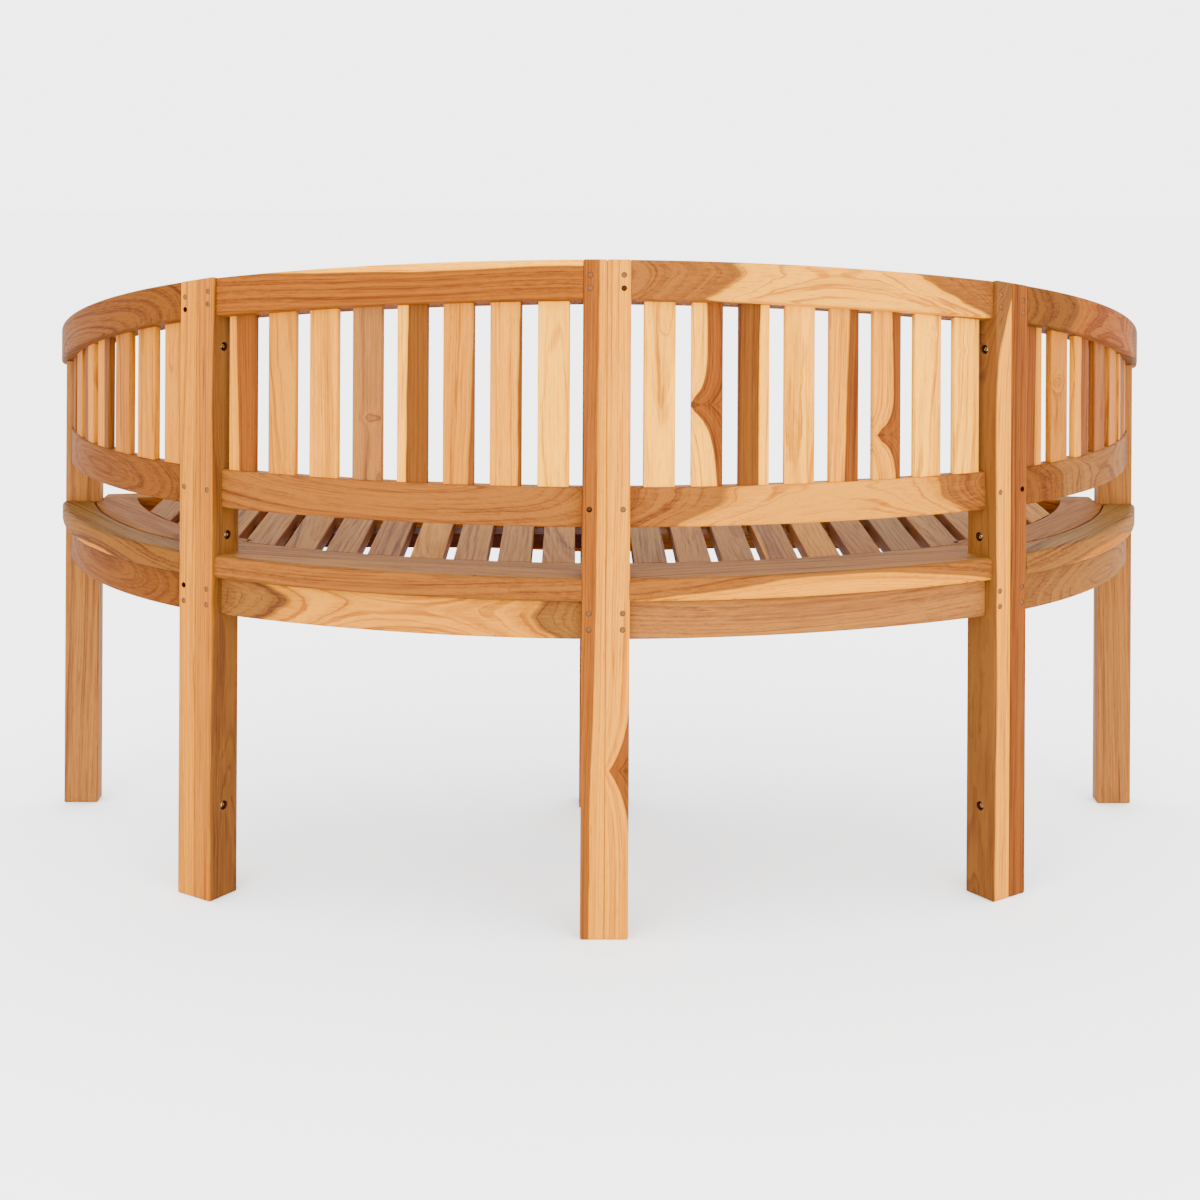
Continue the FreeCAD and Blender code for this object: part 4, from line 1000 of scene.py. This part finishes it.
slat_woods = {
    "center_left": (106, (
        slat(CREAM), slat(BROWN, GOLD, 1, -0.0125), slat(AMBER, SAND, 1, -0.010, sway=-0.045),
        slat(BROWN, CREAM, 1, 0.008, sway=0.005), slat(ROSE, knot=(-0.03, 0.004, 0.22)),
        slat(GOLD, way=-1), slat(SAND, sway=0.02), slat(AMBER, GOLD, 1, 0.004))),
    "center_right": (119, (
        slat(CREAM), slat(AMBER, CREAM, -1, -0.009, (-0.012, 0.016, 1.0), -0.06),
        slat(BROWN, CREAM, 1, 0.009, sway=0.005), slat(CREAM), slat(AMBER, GOLD, -1, -0.003),
        slat(AMBER, GOLD, -1, -0.007, (-0.05, 0.008, 0.8), -0.03),
        slat(CREAM, knot=(0.08, -0.001, 0.16), sway=0.03), slat(CREAM, knot=(0.06, 0.004, 0.12)))),
    "end_left": (97, (
        slat(SAND), slat(SAND), slat(TAN, sway=0.02), slat(BROWN, SAND, 1, -0.002),
        slat(BROWN, SAND, -1, 0.000), slat(TAN, way=-1), slat(AMBER))),
    "end_right": (110, (
        slat(AMBER, SAND, 1, 0.010), slat(TAN, SAND, 0, 0.010, (0.02, 0.006, 0.3), 0.05),
        slat(AMBER, GOLD, -1, -0.002), slat(HONEY, sway=0.02), slat(TAN, way=1),
        slat(BROWN, SAND, -1, 0.008), slat(TAN))),
}


def slat_row(part, side, center, radius, start, end, last_gap=None):
    """One section's slats. Its last gap is at the far post, or equal to the first one."""
    piece = Piece("back_slats_%s_%s" % (part, side), side == "right")
    first_seed, woods = slat_woods["%s_%s" % (part, side)]
    line = radius - BACK_SLAT_INSET - BACK_SLAT_DEPTH / 2
    arc = (end - start) * line
    pitch = BACK_SLAT_WIDTH + BACK_SLAT_GAP
    count = int((arc + BACK_SLAT_GAP - (last_gap or 0)) / pitch)
    if last_gap is None:
        last_gap = (arc + BACK_SLAT_GAP - count * pitch) / 2
    for i in range(count):
        along = arc - last_gap - BACK_SLAT_WIDTH / 2 - i * pitch
        angle = start + along / line
        x, y = center + line * spot(math.cos(angle), math.sin(angle))
        place = Place(x, y, math.degrees(angle) + 90)
        colour, pale, way, sap, knot, sway = woods[i]
        pith = (way * 0.060, 0.015) if way else (0.004 * i, -0.05 - 0.006 * i)
        lay = upright(place, -BACK_SLAT_WIDTH / 2, -BACK_SLAT_DEPTH / 2, LOW_RAIL_TOP, underside)
        piece.add(Board(colour, pith, sap, knot, sway, first_seed + i, pale), lay, BACK_SLAT_WIDTH,
                  BACK_SLAT_DEPTH, SLAT_EASE, SLAT_STEPS, BACK_SLAT_ENDS, (*place.along, 0.0))
    piece.done(BACK_TEAK, "back_teak")


slat_start = angle_of(back_center, corner_place.at(POST_WIDTH, CORNER_INSET + BACK_SLAT_INSET))
slat_stop = angle_of(back_center, center_place.at(-POST_WIDTH, BACK_SLAT_INSET))
end_start = angle_of(end_center, end_place.at(POST_WIDTH / 2, BACK_SLAT_INSET))
end_stop = angle_of(end_center, corner_place.at(-POST_WIDTH, BACK_SLAT_INSET))
for side in SIDES:
    slat_row("center", side, back_center, BACK_RADIUS, slat_start, slat_stop, SLAT_POST_GAP)
    slat_row("end", side, end_center, END_RADIUS, end_start, end_stop)


# Seat slats


def edge(center, radius, way):
    """World y of an arc at a world x, on its rear side (way -1) or its front side (way 1)."""
    return lambda x: center[1] + way * math.sqrt(max(radius ** 2 - (x - center[0]) ** 2, 0))


rear_of_center = edge(back_center, BACK_RADIUS - RIM_WIDTH, -1)
rear_of_end = edge(end_center, end_board_inner, -1)
front_of_seat = edge(front_rim_center, front_rim_inner, 1)
inner_seam = corner_place.at(0, RIM_WIDTH)
seat_tones = (WHEAT, FAWN, WHEAT, TAN, WHEAT, FAWN, WHEAT, HAZEL, TAN, WHEAT, FAWN, WHEAT)
# Where the slats lay in their logs: the pith, and the sway of the grain
seat_cuts = (((-0.03, -0.070), -0.03), ((0.05, -0.062), 0.0), ((0.01, -0.054), 0.03))
FIRST_SEAT_SEED = 90.0


def seat_slat(piece, left, width, rear, front, index):
    """The tones, the cuts and the pale edge on every fifth slat repeat out of step, so that no
    two neighbours look alike."""
    pith, sway = seat_cuts[index % len(seat_cuts)]
    board = Board(seat_tones[index % len(seat_tones)], pith, 0.010 if index % 5 == 3 else None,
                  sway=sway, seed=FIRST_SEAT_SEED + index, pale=TAN)
    lay = crosswise(left, SLAT_BASE, rear, front)
    piece.add(board, lay, width, SEAT_SLAT_THICKNESS, SLAT_EASE, SLAT_STEPS, SEAT_SLAT_ENDS,
              (1, 0, 0))


number = 1
position = CENTER_SLAT_WIDTH / 2 + SEAT_SLAT_GAP
while "seat_slats_pair_%02d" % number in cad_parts:
    left = -position - SEAT_SLAT_WIDTH
    rear = rear_of_end if left + SEAT_SLAT_WIDTH / 4 < inner_seam[0] else rear_of_center
    piece = Piece("seat_slats_pair_%02d" % number)
    seat_slat(piece, left, SEAT_SLAT_WIDTH, rear, front_of_seat, 2 * number)
    seat_slat(piece, position, SEAT_SLAT_WIDTH, lambda x: rear(-x), lambda x: front_of_seat(-x),
              2 * number + 5)
    piece.done(SLAT_TEAK, "slat_teak")
    position += SEAT_SLAT_WIDTH + SEAT_SLAT_GAP
    number += 1
middle_slat = Piece("seat_slat_middle")
seat_slat(middle_slat, -CENTER_SLAT_WIDTH / 2, CENTER_SLAT_WIDTH,
          lambda x: rear_of_center(-abs(x)), lambda x: front_of_seat(-abs(x)), 1)
middle_slat.done(SLAT_TEAK, "slat_teak")

# Pegs, bolts and nuts, turned round their axes


def turn(mesh, start, way, profile, hollow=False):
    """Turn a profile of distance, radius and whether it has six flats, from start on."""
    side = np.cross(way, UP)
    rings = []
    for distance, radius, flats in profile:
        ring = []
        for step in range(TURNING_SIDES):
            angle = math.tau * step / TURNING_SIDES
            reach = radius
            if flats:
                reach /= math.cos((angle + math.pi / 6) % (math.pi / 3) - math.pi / 6)
            ring.append(mesh.verts.new(start + way * distance + reach * (
                math.cos(angle) * side + math.sin(angle) * np.array(UP))))
        rings.append(ring)
    pairs = list(zip(rings, rings[1:]))
    if hollow:
        pairs.append((rings[-1], rings[0]))
    else:
        mesh.faces.new(rings[0][::-1])
        mesh.faces.new(rings[-1])
    for low, high in pairs:
        for i in range(TURNING_SIDES):
            j = (i + 1) % TURNING_SIDES
            mesh.faces.new((low[i], low[j], high[j], high[i]))


def fittings(node, material, mesh, finish):
    piece = stand("%s_%s" % (node, material), mesh)
    piece.data.shade_smooth()
    piece.data.set_sharp_from_angle(angle=SHARP_METAL)
    piece.data.materials.append(finish)
    declare(piece, node)


# Most pegs are flush, and a few sit deep in their holes. Each of these is the peg whose face
# is nearest to an x and a height.
PEG_SUNK = 0.006
PEG_BEVEL = 0.0005
PEG_PLAY = 0.0001
deep_spots = ((0.02, 0.812), (-0.02, 0.53), (-0.575, 0.76), (-0.575, 0.40), (0.575, 0.53))
deep_pegs = {min(range(len(pegs)), key=lambda i: math.hypot(pegs[i][1][0] - x, pegs[i][1][2] - z))
             for x, z in deep_spots}
peg_mesh = bmesh.new()
for i, (inner, outer, axis) in enumerate(pegs):
    radius = PEG_DIAMETER / 2 - PEG_PLAY
    length = math.dist(inner, outer) - (PEG_SUNK if i in deep_pegs else PEG_PLAY * (i % 3))
    turn(peg_mesh, inner, axis, ((0.0, radius, False), (length - PEG_BEVEL, radius, False),
                                 (length, radius - PEG_BEVEL, False)))
fittings("joint_pegs", "wood", peg_mesh, PEG_WOOD)

# A bolt has a domed head with a six-sided socket, and its nut is a ring with six flats
bolt_mesh, nut_mesh = bmesh.new(), bmesh.new()
for inner, outer, axis in bolts:
    head, tail = sorted((inner, outer), key=lambda end: abs(end[0] - POST_WIDTH))
    length = math.dist(head, tail)
    way = (tail - head) / length
    turn(bolt_mesh, head, way, (
        (0.0026, 0.0018, True), (0.0004, 0.0018, True), (0.0002, 0.0022, False),
        (0.0004, 0.0028, False), (0.0012, 0.0034, False), (0.0026, 0.0037, False),
        (0.0034, 0.0037, False), (0.0034, 0.0046, False), (0.0040, 0.0046, False),
        (0.0040, 0.0030, False), (length - 0.0006, 0.0030, False), (length, 0.0025, False)))
    turn(nut_mesh, tail, -way, (
        (0.0002, 0.0030, False), (0.0, 0.0034, False), (0.0, 0.0041, False), (0.0004, 0.0043, True),
        (0.0048, 0.0043, True), (0.0050, 0.0041, False), (0.0050, 0.0030, False)), hollow=True)
fittings("post_bolts", "steel", bolt_mesh, STEEL)
fittings("post_nuts", "steel", nut_mesh, STEEL)

# The frame under the seat keeps its CAD shape. Its teak is dark as painted shade under the seat,
# dark red on the left and brown on the right
chord = end_place.at(0, POST_DEPTH) - corner_place.at(-POST_WIDTH, POST_DEPTH)
frame_turns = {
    "seat_bearer_center": math.radians(-90),
    "seat_bearer_side": math.radians(-90),
    "seat_bearer_end": -math.atan2(chord[1], chord[0]),
    "seat_batten_center": 0.0,
}


def refinish(node, finish):
    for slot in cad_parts[node].material_slots:
        slot.material = finish


for stem, heading in frame_turns.items():
    for side, way, colour in (("left", 1, PAINTED_SHADE_RED), ("right", -1, BROWN)):
        node = "%s_%s" % (stem, side)
        refinish(node, teak(node.replace("_", " ") + " teak", way * heading, colour, relief=0.7))
refinish("seat_battens_end", teak("seat battens end teak", 0.0, BROWN, relief=0.7))

# Studio: a white floor and soft light from the viewer's side
floor_mesh = bpy.data.meshes.new("floor_mesh")
floor_mesh.from_pydata([(x * FLOOR_REACH, y * FLOOR_REACH, 0)
                        for x, y in ((-1, -1), (1, -1), (1, 1), (-1, 1))], [], [(0, 1, 2, 3)])
floor = bpy.data.objects.new("floor", floor_mesh)
bpy.context.scene.collection.objects.link(floor)
floor_mesh.materials.append(studio_white())

world = bpy.data.worlds.new("studio")
world.use_nodes = True
sky = world.node_tree.nodes["Background"].inputs
sky["Color"].default_value = (1.0, 1.0, 1.0, 1.0)
sky["Strength"].default_value = 4.5
bpy.context.scene.world = world


def softbox(name, place, width, height, power):
    """A rectangular lamp that faces the middle of the bench."""
    lamp = bpy.data.lights.new(name, "AREA")
    lamp.shape = "RECTANGLE"
    lamp.size, lamp.size_y = width, height
    lamp.energy = power
    light = bpy.data.objects.new(name, lamp)
    bpy.context.scene.collection.objects.link(light)
    light.location = place
    aim = BENCH_MIDDLE - Vector(place)
    light.rotation_euler = aim.to_track_quat("-Z", "Y").to_euler()


BENCH_MIDDLE = Vector((0, 0, SEAT_HEIGHT))
softbox("key light", (-2.2, -3.4, 2.3), 2.6, 2.2, 105)
softbox("fill light", (2.6, -3.0, 1.7), 2.2, 2.0, 68)

# Camera: level, turned and rolled a fraction of a degree, and framed by shift as in the photograph
CAMERA_PLACE = (-0.04218, -2.793935, 1.01496)
YAW = math.radians(0.732)
ROLL = math.radians(0.304)
camera_data = bpy.data.cameras.new("camera")
camera_data.lens = 60.2
camera_data.sensor_width = 36.0
camera_data.shift_y = -0.396
camera = bpy.data.objects.new("camera", camera_data)
bpy.context.scene.collection.objects.link(camera)
camera.matrix_world = (Matrix.Translation(CAMERA_PLACE) @ Matrix.Rotation(-YAW, 4, "Z")
                       @ Matrix.Rotation(math.radians(90), 4, "X") @ Matrix.Rotation(ROLL, 4, "Z"))
bpy.context.scene.camera = camera

bpy.context.view_layer.update()
